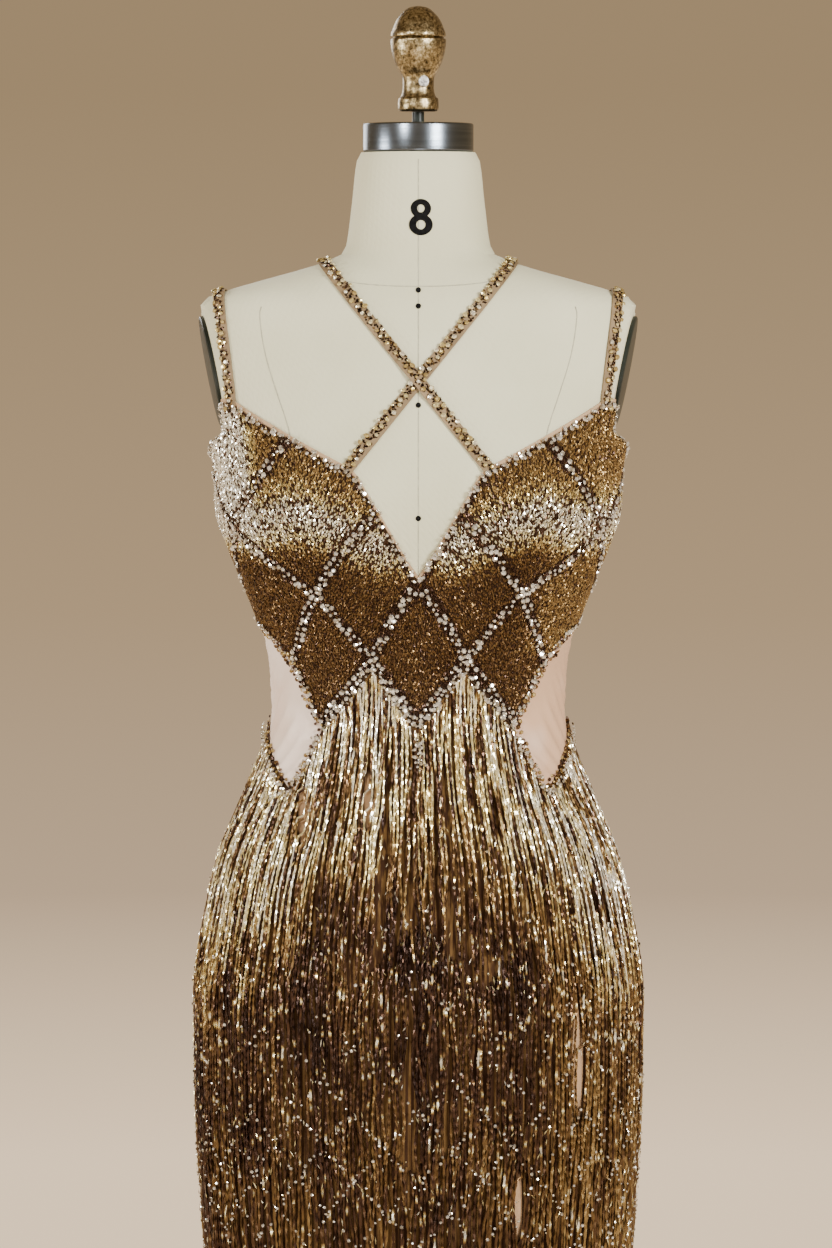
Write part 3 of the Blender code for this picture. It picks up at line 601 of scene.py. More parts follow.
turned(
    "neck_plate",
    [(0.046, 1.562), (0.0478, 1.5623), (0.0484, 1.5634), (0.0484, 1.564), (0.0484, 1.5855),
     (0.0481, 1.5864), (0.0472, 1.587), (0.046, 1.587), (0.01, 1.587)],
    STEEL, "brushed_plate", "form_neck_plate", sides=96,
)
turned("rod", [(0.0052, 1.5873), (0.0052, 1.5971)], DARK, "black_iron", "form_rod", sides=32)
turned(
    "knob",
    [(0.015, 1.5974), (0.0172, 1.5984), (0.0178, 1.601), (0.0177, 1.606), (0.0174, 1.6085),
     (0.0158, 1.61), (0.0145, 1.6125), (0.0137, 1.617), (0.0136, 1.6225), (0.0139, 1.6264),
     (0.015, 1.6296), (0.018, 1.6344), (0.0216, 1.6432), (0.0237, 1.652), (0.0243, 1.6585),
     (0.0241, 1.66), (0.0218, 1.6611), (0.0238, 1.6624), (0.024, 1.664), (0.0222, 1.6696),
     (0.0192, 1.6766), (0.014, 1.683), (0.0075, 1.6876), (0.001, 1.6889)],
    BRONZE, "aged_bronze", "form_knob", sides=72, fine=4,
)
turned(
    "stand_flange_plate",
    [(0.0215, 0.72), (0.022, 0.7202), (0.0445, 0.733), (0.045, 0.7336), (0.045, 0.7394),
     (0.0447, 0.7397)],
    IRON, "black_iron", "stand_flange", sides=48,
)
turned("stand_tube", [(0.0125, 0.0463), (0.0125, 0.7197)], IRON, "black_iron", "stand_pole", sides=40)
turned(
    "stand_foot",
    [(0.1435, 0.0), (0.1448, 0.0012), (0.145, 0.003), (0.145, 0.0105), (0.144, 0.013), (0.14, 0.015),
     (0.09, 0.019), (0.045, 0.0232), (0.032, 0.026), (0.027, 0.033), (0.0245, 0.044), (0.0235, 0.0458),
     (0.022, 0.046)],
    IRON, "black_iron", "stand_base", sides=96,
)

# %% [markdown]
# A small bright screw locks the knob, and an oval plate closes the form at each arm.
# Both are flat round pieces with a softened rim: rings of one oval, each a little higher and smaller.

# %% Screw and arm plates
SCREW_RIM = [(0.0, 1.0), (0.0014, 1.0), (0.0020, 0.90), (0.0022, 0.70), (0.0022, 0.25), (0.0014, 0.18)]
PLATE_RIM = [(0.0004, 0.995), (0.0006, 1.0), (0.0030, 1.0), (0.0038, 0.975), (0.0040, 0.94), (0.0040, 0.30)]
PLATE_HEIGHT, PLATE_HALF_DEPTH, PLATE_HALF_HEIGHT = 1.371, 0.041, 0.049


def stud(name, centre, back, up, rim, look, slot, node, sides=48):
    """A flat oval piece whose half axes are back and up: rings of that oval, each shrunk by its share and
    lifted by its height along the cross product of the two."""
    out = unit(np.cross(back, up))
    turn = round_turn(sides)[:, None]
    lifts, shares = np.array(rim).T[..., None, None]
    points = centre + (np.cos(turn) * back + np.sin(turn) * up) * shares + out * lifts
    ends = centre + out * lifts[[0, -1], 0]
    points, faces = np.concatenate([points.reshape(-1, 3), ends]), tube_faces(len(rim), sides)
    add_mesh(name, points, faces, look, slot, node, smooth=True, sharp=40)


stud(
    "knob_screw", np.array((0.0048, -0.0132, 1.6232)), np.array((0.0046, 0, 0)), np.array((0, 0, 0.0050)),
    SCREW_RIM, BRIGHT, "brushed_plate", "form_knob_screw", sides=28,
)
back = unit(np.array((ARM_FLAT["turn"], 1, 0))) * PLATE_HALF_DEPTH
up = unit(np.array((ARM_FLAT["lean"], 0, 1))) * PLATE_HALF_HEIGHT
centre = np.array((float(arm_flat(0, PLATE_HEIGHT)), 0, PLATE_HEIGHT))
for sign, word in ((1, "right"), (-1, "left")):
    flip = np.array((sign, 1, 1))
    stud(
        f"arm_plate_{word}", centre * flip, back * flip * sign, up * flip,
        PLATE_RIM, DARK, "arm_plate", f"form_arm_plate_{word}",
    )

# %% [markdown]
# Now the gown. A pattern cutter works with edges, so each edge is a short table of angles and heights.
# Bodice and skirt meet in a zigzag at the waist, and part at the sides round a cut-out filled with nude net.
# Seams stay a fraction of a millimetre open, and the skirt's hem hangs just off the floor.

# %% Edges of the gown
WAIST_ZIGZAG = [
    (0, 1.063), (15, 1.117), (37.5, 1.062), (47.5, 1.006), (90, 1.060),
    (132.5, 1.006), (142.5, 1.062), (165, 1.117), (180, 1.063),
]
BODICE_BOTTOM = [
    (0, 1.063), (15, 1.117), (37.5, 1.062), (56, 1.121), (67.5, 1.140), (90, 1.152),
    (112.5, 1.140), (124, 1.121), (142.5, 1.062), (165, 1.117), (180, 1.063),
]
FRONT_NECKLINE = [
    (0, 1.199), (7.5, 1.248), (15, 1.290), (56, 1.350), (63, 1.347),
    (67.5, 1.340), (73, 1.328), (79, 1.315), (90, 1.303),
]
BACK_NECKLINE = [(90, 1.303), (124, 1.290), (142.5, 1.283), (165, 1.225), (180, 1.165)]
WHOLE_NECKLINE = FRONT_NECKLINE + BACK_NECKLINE[1:]
FRONT_LINES = [
    [(36, 1.310), (64, 1.236), (84, 1.180)],
    [(9.8, 1.251), (32, 1.184), (53, 1.122)],
    [(0, 1.190), (15, 1.126), (36, 1.074)],
    [(86, 1.285), (64, 1.236), (32, 1.184), (15, 1.126), (0, 1.071)],
]
BACK_LINES = [
    [(144, 1.270), (120, 1.236), (96, 1.185)],
    [(165, 1.210), (148, 1.177), (128, 1.122)],
    [(178, 1.150), (165, 1.126), (144.5, 1.077)],
    [(96, 1.280), (120, 1.236), (148, 1.177), (165, 1.126), (178, 1.076)],
]
HALF_GAP = 0.0004
HEM = [(0, 0.004), (180, 0.004)]


def across(edge, degrees):
    """The height of an edge at an angle in degrees, the same on both sides of the body."""
    angles, heights = zip(*edge)
    return np.interp(np.abs(degrees), angles, heights)


def mirrored(lines, sides=(1, -1)):
    """The lines on each side of the body."""
    return [[(sign * a, z) for a, z in line] for line in lines for sign in sides]


def lowered(edge, by):
    """An edge moved down by a distance."""
    return [(a, z - by) for a, z in edge]


BODICE_FOOT, NET_TOP = lowered(BODICE_BOTTOM, -HALF_GAP), lowered(BODICE_BOTTOM, HALF_GAP)
NET_FOOT, SKIRT_TOP = lowered(WAIST_ZIGZAG, -HALF_GAP), lowered(WAIST_ZIGZAG, HALF_GAP)
print("the skirt's top is highest at", max(z for _, z in SKIRT_TOP), "m")

# %% [markdown]
# Each piece of cloth is a grid between two edges, made twice: once just off the form and once a cloth's
# thickness further out. A rim joins the two, so the shell is closed. Its flat size is measured as well.

# %% Cloth shells
CLOTH_SKINS = (0.0022, 0.0008)  # how far off the form its outer and inner faces lie
CLOTH_OUTER = CLOTH_SKINS[0]
BOUND_EDGE = 0.007  # how wide the pale binding along an upper edge is
CUT_ROUNDING = 0.0006  # m added, so that a cut is never rounded below its piece
SHEETS = {}


def cloth(name, node, limits, bottom, top, rows, look, slot, skins=CLOTH_SKINS, crease=None, fine=2.0):
    """A shell of cloth between two angles and two edges: rows spread evenly, columns fine degrees apart. Its
    cut is its widest row, its tallest column and the sum of its parallelograms, halfway through the cloth."""
    first, last = limits
    degrees = np.linspace(first, last, round((last - first) / fine) + 1)
    share = np.linspace(0, 1, rows)[:, None]
    rise = across(bottom, degrees) * (1 - share) + across(top, degrees) * share
    raised = 0 if crease is None else crease(degrees, rise)
    outer, inner = (on_body(np.radians(degrees), rise, raised + skin) for skin in skins)
    near_edge = np.clip(1 - (across(top, degrees) - rise) / BOUND_EDGE, 0, 1)
    points, faces = np.concatenate([outer, inner]), sheet_faces(*rise.shape)
    edge = np.concatenate([near_edge] * 2)
    piece = add_mesh(name, points, faces, look, slot, node, smooth=True, sharp=50, edge=edge)
    middle = (outer + inner) / 2
    width = float(np.linalg.norm(np.diff(middle, axis=1), axis=-1).sum(axis=1).max())
    length = float(np.linalg.norm(np.diff(middle, axis=0), axis=-1).sum(axis=0).max())
    corners = np.cross(middle[:-1, 1:] - middle[:-1, :-1], middle[1:, :-1] - middle[:-1, :-1])
    area = float(np.linalg.norm(corners, axis=-1).sum())
    SHEETS[name] = (piece, round(width + CUT_ROUNDING, 3), round(length + CUT_ROUNDING, 3), round(area, 4))
    print(f"{name}: cut {width:.3f} x {length:.3f} m, {area:.4f} m2")


BODICE = {
    "bodice_front": ((-90, 90), 40), "bodice_back_right": ((90.1, 179.9), 36),
    "bodice_back_left": ((-179.9, -90.1), 36),
}
for node, (limits, rows) in BODICE.items():
    cloth(f"{node}_cloth", node, limits, BODICE_FOOT, WHOLE_NECKLINE, rows, BACKING, "beaded_cloth")

# %% [markdown]
# The net of the cut-outs is stretched from skirt to bodice, so a few soft diagonal creases run from corner
# to corner. They are low ridges, added to how far the net stands off the form.

# %% Cut-out net
NET_ENDS = (38.4, 141.6)  # degrees, where the pointed ends close
NET_SKINS = (0.0016, 0.0006)
CREASE_PITCH, CREASE_HEIGHT = 0.0150, 0.0022
ROUND_DEGREE = 0.0024  # m round the body for a degree


def net_creases(degrees, rise):
    """Ridges across the net: a slanting wave that falls outwards, stronger in places, gone at the edges."""
    place = np.abs(degrees) * ROUND_DEGREE
    wave = (place * 0.72 + rise * 0.69) * math.tau / CREASE_PITCH + 2.2 * np.sin(rise * 42 + place * 19)
    ridge = (0.5 + 0.5 * np.sin(wave)) ** 1.6 * np.clip(0.65 + 0.7 * np.sin((place - rise) * 55 + 1), 0, 1)
    low, high = across(WAIST_ZIGZAG, degrees), across(BODICE_BOTTOM, degrees)
    middle = np.clip((rise - low) * (high - rise) / 0.0006, 0, 1)
    return CREASE_HEIGHT * (ridge + 0.15) * middle


for sign, word in ((1, "right"), (-1, "left")):
    limits = sorted(sign * end for end in NET_ENDS)
    cloth(
        f"cutout_net_{word}", f"cutout_mesh_{word}", limits, NET_FOOT, NET_TOP, 40, NET, "nude_mesh",
        skins=NET_SKINS, crease=net_creases, fine=1.1,
    )

# %% [markdown]
# The skirt is cut in gores, straight to the knee and wide at the hem, where it stands in soft flutes.
# Gores give the flare its width, as a seam between two can spread where one wide piece would have to stretch.

# %% Skirt gores
GORE_SEAMS = (47.5, 67.5, 90, 112.5, 132.5, 180)  # degrees from the centre front
GORE_NAMES = ("hip_front", "side_front", "side_back", "hip_back", "back")
SEAM_DEGREES = 0.1  # each side of a seam is left open

gores = {"skirt_front": (SEAM_DEGREES - GORE_SEAMS[0], GORE_SEAMS[0] - SEAM_DEGREES)}
for name, first, last in zip(GORE_NAMES, GORE_SEAMS, GORE_SEAMS[1:]):
    gores[f"skirt_{name}_right"] = (first + SEAM_DEGREES, last - SEAM_DEGREES)
    gores[f"skirt_{name}_left"] = (SEAM_DEGREES - last, -first - SEAM_DEGREES)
for node, limits in gores.items():
    cloth(f"{node}_cloth", node, limits, HEM, SKIRT_TOP, 60, SKIRT_BACKING, "beaded_cloth")

# %% [markdown]
# Beads are where numpy earns its keep. A rice bead is a long six-faced shape, and thousands of them are one
# array: a place, a direction and a size for each, multiplied out into corners.

# %% Rice beads
BODICE_RANGE = (0.99, 1.36)
BEAD_MARGIN = 0.003  # m of bare cloth along a panel's lower edge, and half as much again along its upper
HALF_GIRTH = 0.56  # m, at the bust
CLOSER = 1.18  # how many times closer beads lie in a row than rows do


def copied(shape, count, corners):
    """The faces of count copies of a shape that has so many corners."""
    return (np.asarray(shape)[None] + (np.arange(count) * corners)[:, None, None]).reshape(-1, 3)


def rice_beads(centres, along, normal, length, width):
    """Long six-faced beads: two tips, a corner on each side and one on top, with a flat underside."""
    length, width = length[:, None], width[:, None]
    tips = along * length / 2
    wide, high = np.cross(normal, along) * width / 2, normal * width * 0.62
    low = centres - normal * width * 0.3
    corners = np.stack([low - tips, low + wide, low + high, low - wide, low + tips], axis=1)
    shape = [(0, 2, 1), (0, 3, 2), (4, 1, 2), (4, 2, 3), (0, 1, 4), (0, 4, 3)]
    return corners.reshape(-1, 3), copied(shape, len(centres), 5)


def laid(normal, lean, tip):
    """Directions of beads on the body, and the way they face. A bead points down the body, turned aside by
    its lean and raised by its tip, and faces along the normal made square to that."""
    down = np.cross(np.cross(normal, (0, 0, 1)), normal)
    lean, tip = lean[:, None], tip[:, None]
    along = unit(down * np.cos(lean) + np.cross(normal, down) * np.sin(lean) + normal * tip)
    return along, unit(normal - along * (normal * along).sum(axis=1, keepdims=True))


def scattered(first, last, pitch, seed):
    """Angles and heights of beads spread evenly, then shaken, over a bodice panel: rows a pitch apart, and in
    each row places a little closer than that, so that the cloth is covered alike everywhere."""
    random = np.random.default_rng(seed)
    rows = np.arange(*BODICE_RANGE, pitch)
    count = int(HALF_GIRTH * abs(last - first) / 180 / pitch * CLOSER)
    angles = even_angles(count, 1.20, first, last)
    turn, rise = np.meshgrid(angles, rows)
    turn = turn + random.uniform(-0.5, 0.5, turn.shape) * (angles[1] - angles[0])
    rise = rise + random.uniform(-0.5, 0.5, rise.shape) * pitch
    degrees = np.degrees(turn)
    keep = rise > across(BODICE_FOOT, degrees) + BEAD_MARGIN
    keep &= rise < across(WHOLE_NECKLINE, degrees) - BEAD_MARGIN * 1.5
    keep &= (degrees > first) & (degrees < last)
    return turn[keep], rise[keep], random


print("beads are spread from", BODICE_RANGE[0], "to", BODICE_RANGE[1], "m")

# %% [markdown]
# The beads' colours follow bands: old gold over the upper cups, champagne across their lower half, and dark
# brown down to the waist. The champagne is partly the beads' own colour and partly a painted highlight. Dark
# beads are mixed in, most of them beside the crystal lines.

# %% Bead colours of the bodice
TONE_HEIGHTS = (1.00, 1.10, 1.165, 1.200, 1.212, 1.224, 1.250, 1.262, 1.275, 1.300, 1.36)
# The champagne peak over the lower cups is partly a painted highlight.
TONES_AND_HIGHLIGHT_FRONT = (0.19, 0.19, 0.20, 0.20, 0.26, 0.82, 0.95, 0.66, 0.38, 0.34, 0.38)
BEAD_LENGTH, BEAD_WIDTH = 0.0043, 0.0020
FLAT_DEGREE = 0.0025  # m across the unrolled bodice for a degree
LINE_NEAR = 0.0058


def bell(value, middle, spread):
    """A bump of height one at the middle that fades within the spread on both sides."""
    return np.exp(-(((value - middle) / spread) ** 2))


def fade(value, start, spread):
    """Rises from none at the start to one a spread further on, or falls where the spread is negative."""
    return np.clip((value - start) / spread, 0, 1)


def from_lines(turn, rise, lines):
    """How far places are from the nearest of the lines, with the bodice unrolled flat."""
    nearest = np.full(turn.shape, 1.0)
    places = np.stack([np.degrees(turn) * FLAT_DEGREE, rise], axis=1)
    for line in lines:
        corners = np.array(line, float) * (FLAT_DEGREE, 1.0)
        for start, end in zip(corners, corners[1:]):
            way = end - start
            share = np.clip((places - start) @ way / (way @ way), 0, 1)
            gap = np.linalg.norm(places - start - share[:, None] * way, axis=1)
            nearest = np.minimum(nearest, gap)
    return nearest


def bodice_tone(turn, rise, random):
    """A bead's place on the colour ramp: read at its height, moved by side, then paler on the far left cup as
    a painted highlight, gold low on the right one, and dark by chance."""
    side = np.abs(np.degrees(turn))
    dip = 0.016 * bell(side, 8, 9) - 0.010 * bell(side, 34, 9)
    tone = np.interp(rise + dip + random.normal(0, 0.004, rise.shape), TONE_HEIGHTS, TONES_AND_HIGHLIGHT_FRONT)
    # Painted highlight: the far left cup's beads are made paler, as if lit.
    outer = fade(side, 46, 8) * fade(rise, 1.215, 0.03) * (turn < 0)
    tone = tone + (1.0 - tone) * outer
    low = fade(side, 36, 6) * fade(rise, 1.235, -0.01) * fade(rise, 1.12, 0.01)
    tone = np.maximum(tone, 0.33 * low * (turn > 0))
    gap = from_lines(turn, rise, mirrored(FRONT_LINES + BACK_LINES + [WHOLE_NECKLINE, BODICE_BOTTOM]))
    chance = np.where(tone > 0.6, 0.32 - 0.16 * outer, 0.12)
    chance = np.where(gap < LINE_NEAR, 0.80, chance)
    dark = random.random(rise.shape) < chance
    tone = tone + np.abs(random.normal(0, 0.07, rise.shape))
    return np.clip(np.where(dark, 0.06 + 0.10 * tone, tone), 0.02, 1)


def bead_cloth(name, first, last, pitch, seed):
    """All the rice beads sewn on one bodice panel, lying mostly downwards but every way a little."""
    turn, rise, random = scattered(first, last, pitch, seed)
    many = rise.shape
    normal = outward(turn, rise)
    centres = on_body(turn, rise, CLOTH_OUTER + 0.0007 + random.uniform(0, 0.0006, many))
    lean = random.normal(0, 0.26, many) + 0.35 * np.sin(turn * 6)
    along, facing = laid(normal, lean, random.normal(0.20, 0.12, many))
    roll = random.uniform(-0.8, 0.8, many)[:, None]
    facing = facing * np.cos(roll) + np.cross(along, facing) * np.sin(roll)
    length = BEAD_LENGTH * random.uniform(0.8, 1.15, many)
    width = BEAD_WIDTH * random.uniform(0.85, 1.15, many)
    beads = rice_beads(centres, along, facing, length, width)
    add_mesh(name, *beads, BEADS, "beaded_cloth", tone=np.repeat(bodice_tone(turn, rise, random), 5))


bead_cloth("bodice_front_beads", -90, 90, 0.00225, 1)
bead_cloth("bodice_back_right_beads", 90, 179.5, 0.0028, 2)
bead_cloth("bodice_back_left_beads", -179.5, -90, 0.0028, 3)

# %% [markdown]
# Fringe is threads of small beads. Each strand here is one three-sided tube whose rings turn half a side from
# one to the next, so its surface breaks into little triangles that catch the light like separate beads.
# A strand wanders a little on its way down, and neighbours lean together, which opens the slits between them.
# Towards the hem the strands grow wider, so that fewer of them still cover the flare.

# %% Fringe strands
DIAMONDS = 12
HIP_HEIGHT = 0.85
FRINGE_ENDS = (-179.3, 179.3)  # degrees
FRINGE_ROOT = 0.0014  # m off the cloth, where the strands are sewn on
STRAND_GROWTH = ((0.0, 0.44), (2.1, 1.0))  # heights, and how many times a strand's width there
# Painted glints: a ring is made near white where its dice beat these numbers.
PAINTED_GLINT_DICE = ((0.30, 0.70, 0.84, 0.92), (0.90, 0.88, 0.80, 0.84))  # heights, and the dice to beat there
SLIT_REACH, SLIT_RADIUS = 0.011, 0.15  # how far aside strands give way, and how far they hang from the axis
LEAN_LENGTH = 0.25  # m down from the root to where a strand has its full lean


def zigzag(degrees, middle, reach, turn):
    """A zigzag round the skirt: its height swings by reach each side of the middle, twelve times round."""
    place = (degrees + turn) * DIAMONDS / 360
    return middle + reach * (4 * np.abs(place - np.round(place)) - 1)


def strand_faces(strands, rings):
    """Three-cornered faces of many closed strands: two for each side between rings, and one for each end."""
    ring, side = np.meshgrid(np.arange(rings - 1), np.arange(3), indexing="ij")
    a, b = ring * 3 + side, ring * 3 + (side + 1) % 3
    wall = np.concatenate([np.stack([a, a + 3, b], -1), np.stack([b, a + 3, b + 3], -1)]).reshape(-1, 3)
    end = rings * 3 - 3
    return copied(np.concatenate([wall, [(0, 1, 2)], [(end, end + 2, end + 1)]]), strands, rings * 3)


def parted(turn, rise):
    """Strands moved aside where the fringe has a slit: by its half width at the middle, less at its ends."""
    x = body(turn, rise)[..., 0]
    for slit in SLITS:
        middle, reach = slit_middle(slit)
        open_here = np.clip(1 - ((rise - middle) / reach) ** 2, 0, 1)
        away = np.where(np.cos(turn) > 0, x - slit["x"], 1.0)
        turn = turn + np.sign(away) * slit["half"] * open_here * bell(away, 0, SLIT_REACH) / SLIT_RADIUS
    return turn


def skirt_tone(turn, rise):
    """The fringe's colours: champagne on the hips, painted there as a highlight where light catches them,
    lower at the sides than in front, then brown and gold.
    """
    degrees = np.degrees(turn)
    side = np.abs(degrees)
    # The painted highlight on the hips: where it ends, and how pale it is.
    edge = 0.936 - 0.090 * fade(side, 24, 26) + 0.010 * np.sin(turn * 11) + 0.006 * np.sin(turn * 37)
    pale = 0.94 + 0.06 * np.sin(turn) - 0.26 * bell(degrees, 10, 20) * fade(rise, 1.10, -0.10)
    patches = np.sin(turn * 9 + rise * 31) * np.sin(turn * 5 - rise * 23)
    gold = 0.120 + 0.15 * fade(side, 26, 14) * (turn > 0) + 0.08 * fade(rise, 0.78, -0.10)
    deep = gold + 0.10 * patches
    return deep + (pale - deep) * np.clip((rise - edge) / 0.075 + 0.5, 0, 1)


def strand_paths(base, top, bottom, rings, random):
    """Angles and heights down each strand: straight down, plus a lean in threes, a wave and the slits."""
    count = len(base)
    rise = top[:, None] + (bottom - top)[:, None] * np.linspace(0, 1, rings)
    fall = (top[:, None] - rise) / LEAN_LENGTH
    bunch = np.repeat(random.normal(0, 0.0024, count // 3 + 1), 3)[:count, None]
    wander = (random.normal(0, 0.0010, (count, 1)) + bunch) * fall**0.8
    wave = random.uniform(30, 90, (count, 1))
    wander = wander + 0.0009 * np.sin(rise * wave + random.uniform(0, 6.3, (count, 1)))
    radius = np.linalg.norm(body(base, HIP_HEIGHT)[:, :2], axis=1)[:, None]
    return parted(base[:, None] + wander / radius, rise), rise


def strand_colours(turn, rise, random):
    """Places on the colour ramp for every ring: the skirt's colour with its painted highlight, varied from
    strand to strand, with painted shade over stretches where the strand turns away, and a painted glint
    wherever two dice in a row fall high."""
    count, rings = rise.shape
    colour = skirt_tone(turn, rise + random.normal(0, 0.020, (count, 1)))
    pale = fade(colour, 0.3, 0.3)
    # Painted shade over stretches where a strand turns away from the light.
    wave = random.uniform(20, 70, (count, 1))
    swell = np.sin(rise * wave + random.uniform(0, 6.3, (count, 1)))
    turned_away_shade = np.clip((swell + random.normal(0, 0.5, (count, 1)) - 0.05) * 5, 0, 1)
    strand = random.uniform(0.88, 1.1, (count, 1)) - random.uniform(0.70, 0.86, (count, 1)) * turned_away_shade
    plain = random.uniform(0.65, 1.35, (count, 1))
    colour = colour * (plain + (strand - plain) * pale) + random.normal(0, 0.045, (count, rings))
    # Painted glints: a ring is made near white where two dice in a row beat the chance.
    dice = random.random((count, rings + 1))
    glint_roll = (dice[:, 1:] + dice[:, :-1]) / 2
    return np.clip(np.where(glint_roll > np.interp(rise, *PAINTED_GLINT_DICE), 0.97, colour), 0.02, 1)


def fringe(name, node, count, root, tip, shake, ring, width, out, seed):
    """One tier of strands: root gives heights for angles, tip is where they end, give or take the shake, ring
    is the length of a bead and out is how far off the cloth they hang a quarter of the way down."""
    random = np.random.default_rng(seed)
    base = even_angles(count, HIP_HEIGHT, *FRINGE_ENDS)
    base = base + random.uniform(-0.3, 0.3, count) * (base[1] - base[0])
    top = root(np.degrees(base))
    bottom = tip + (random.uniform(-shake, shake, count) if shake else np.zeros(count))
    rings = int(np.max(top - bottom) / ring) + 1
    turn, rise = strand_paths(base, top, bottom, rings, random)
    normal = outward(turn, rise)
    hung = np.minimum(1, np.linspace(0, 1, rings) * 4)
    lift = CLOTH_OUTER + FRINGE_ROOT + (out - FRINGE_ROOT) * hung
    lift = lift + random.uniform(-0.0004, 0.0012, (count, 1)) * hung
    centre = body(turn, rise) + normal * lift[..., None]
    side = unit(np.cross(np.gradient(centre, axis=1), normal))
    size = width * random.uniform(0.82, 1.12, (count, rings)) / 2 * np.interp(rise, *STRAND_GROWTH)
    start = random.uniform(0, math.tau, (count, 1)) + np.arange(rings) * (math.pi / 3)
    start = start + random.normal(0, 0.25, (count, rings))
    corner = (start[..., None] + round_turn(3))[..., None]
    section = side[:, :, None] * np.cos(corner) + normal[:, :, None] * np.sin(corner)
    points = centre[:, :, None] + section * size[:, :, None, None]
    colour = strand_colours(turn, rise, random)
    add_mesh(name, points, strand_faces(count, rings), BEADS, "bead_fringe", node, tone=np.repeat(colour, 3))


print("a strand of four rings has", len(strand_faces(1, 4)), "faces")

# %% [markdown]
# Four tiers hang over each other, as a gown like this is sewn: the first from the waist seam, and the others
# from zigzags that follow the diamonds. The two lower ones are a guess, as the photo ends above the knee.

# %% Tiers of fringe
fringe(
    "fringe_waist", "fringe_tier_1", 360, lambda d: across(WAIST_ZIGZAG, d) - 0.003,
    tip=0.838, shake=0.034, ring=0.0046, width=0.0023, out=0.0042, seed=11,
)
fringe(
    "fringe_hip", "fringe_tier_2", 336, lambda d: zigzag(d, 0.868, 0.029, 15),
    tip=0.668, shake=0.026, ring=0.0044, width=0.002645, out=0.0040, seed=12,
)
fringe(
    "fringe_thigh", "fringe_tier_3", 324, lambda d: zigzag(d, 0.706, 0.029, 0),
    tip=0.396, shake=0.012, ring=0.0056, width=0.00276, out=0.0040, seed=13,
)
fringe(
    "fringe_hem", "fringe_tier_4", 300, lambda d: zigzag(d, 0.453, 0.020, 15),
    tip=0.014, shake=0, ring=0.0105, width=0.002645, out=0.0030, seed=14,
)

# %% [markdown]
# Crystals edge every diamond and every border, two side by side. Each is cut with a flat table and a ring of
# crown facets, and has a flat back. The same idea as the beads: one small shape, many places.

# %% Crystals
STONE_PITCH = 0.0058
STONE_CORNERS = 12


def crystals(centres, normal, side, lean, sizes, random):
    """Cut stones: a six-sided table over a wider six-sided girdle turned half a side. Each leans from the
    normal by a random direction times the lean, and its size is drawn between the two sizes."""
    tilt = unit(normal + random.normal(0, lean, normal.shape))
    flat = unit(np.cross(tilt, np.cross(side, tilt)))
    other = np.cross(tilt, flat)
    size = random.uniform(*sizes, len(centres))
    roll = random.uniform(0, 1, len(centres))
    rings = []
    for shift, share, out in ((0, 0.55, 0.55), (math.pi / 6, 1.0, 0.0)):
        spin = (roll[:, None] + round_turn(6) + shift)[..., None]
        round_it = flat[:, None] * np.cos(spin) + other[:, None] * np.sin(spin)
        rings.append(centres[:, None] + (round_it * share + tilt[:, None] * out) * size[:, None, None] / 2)
    corner = np.arange(6)
    after = (corner + 1) % 6
    crown = [np.stack([corner, corner + 6, after], -1), np.stack([after, corner + 6, after + 6], -1)]
    front = np.array([(0, 1, 2), (0, 2, 3), (0, 3, 4), (0, 4, 5)])
    shape = np.concatenate([*crown, front, front[:, ::-1] + 6])
    return np.concatenate(rings, axis=1).reshape(-1, 3), copied(shape, len(centres), STONE_CORNERS)


def stones_along(line, out, pitch=STONE_PITCH, rows=2, spread=0.0022, chance=0.9, size=0.0050, shake=0.0009):
    """Stones along a line of (angle, height) on the body, in rows beside it, each nudged a little."""
    line = np.array(line, float)
    along = lengths(on_body(np.radians(line[:, 0]), line[:, 1], out))
    places = np.arange(pitch / 2, along[-1], pitch)
    parts = []
    for row in range(rows):
        at = places + random.normal(0, pitch * 0.18, len(places)) + row * pitch / 2
        at = at[random.random(len(at)) < chance]
        (degrees, rise), (ahead, ahead_rise) = (read_along(at + step, along, line).T for step in (0, 0.001))
        turn = np.radians(degrees)
        normal = outward(turn, rise)
        here = on_body(turn, rise, out)
        side = unit(np.cross(normal, on_body(np.radians(ahead), ahead_rise, out) - here))
        shift = (row - (rows - 1) / 2) * 2 * spread + random.normal(0, shake, len(at))
        centres, sizes = here + side * shift[:, None], (size * 0.60, size * 1.15)
        parts.append(crystals(centres, normal, side, 0.30, sizes, random))
    return joined(parts)


print("stones are", STONE_PITCH * 1000, "mm apart along a line")

# %% [markdown]
# The diamonds of the bodice are lines between crossings. The same lines are mirrored to the other side, and
# again round the back. Crystals also follow the neckline, the armholes, the waist seam and the cut-outs.

# %% Crystal lines of the bodice
BEAD_TOP = CLOTH_OUTER + 0.0017
EDGE_LINES = mirrored([
    lowered(FRONT_NECKLINE, 0.006), lowered(BACK_NECKLINE, 0.006), lowered(BODICE_BOTTOM, -0.004)[2:9],
    lowered(BODICE_BOTTOM[:3], -0.0005), lowered(BODICE_BOTTOM[8:], -0.0005),
])
ROOT_LINES = mirrored([lowered(WAIST_ZIGZAG, 0.003)[2:7], [(0, 1.058), (1, 1.030)]])
CUTOUT_LINES = mirrored([lowered(WAIST_ZIGZAG, -0.0005)[2:7], lowered(BODICE_BOTTOM, -0.0010)[2:9]])
CUTOUT_TONES = [0.06, 0.14, 0.26, 0.45, 0.60]

random = np.random.default_rng(21)
LATTICES = {
    "front": mirrored(FRONT_LINES),
    "back_right": mirrored(BACK_LINES, (1,)),
    "back_left": mirrored(BACK_LINES, (-1,)),
}
for word, lines in LATTICES.items():
    lattice = joined([stones_along(line, BEAD_TOP) for line in lines])
    add_mesh(f"lattice_stones_{word}", *lattice, CRYSTAL, "crystal_trim", f"lattice_{word}")

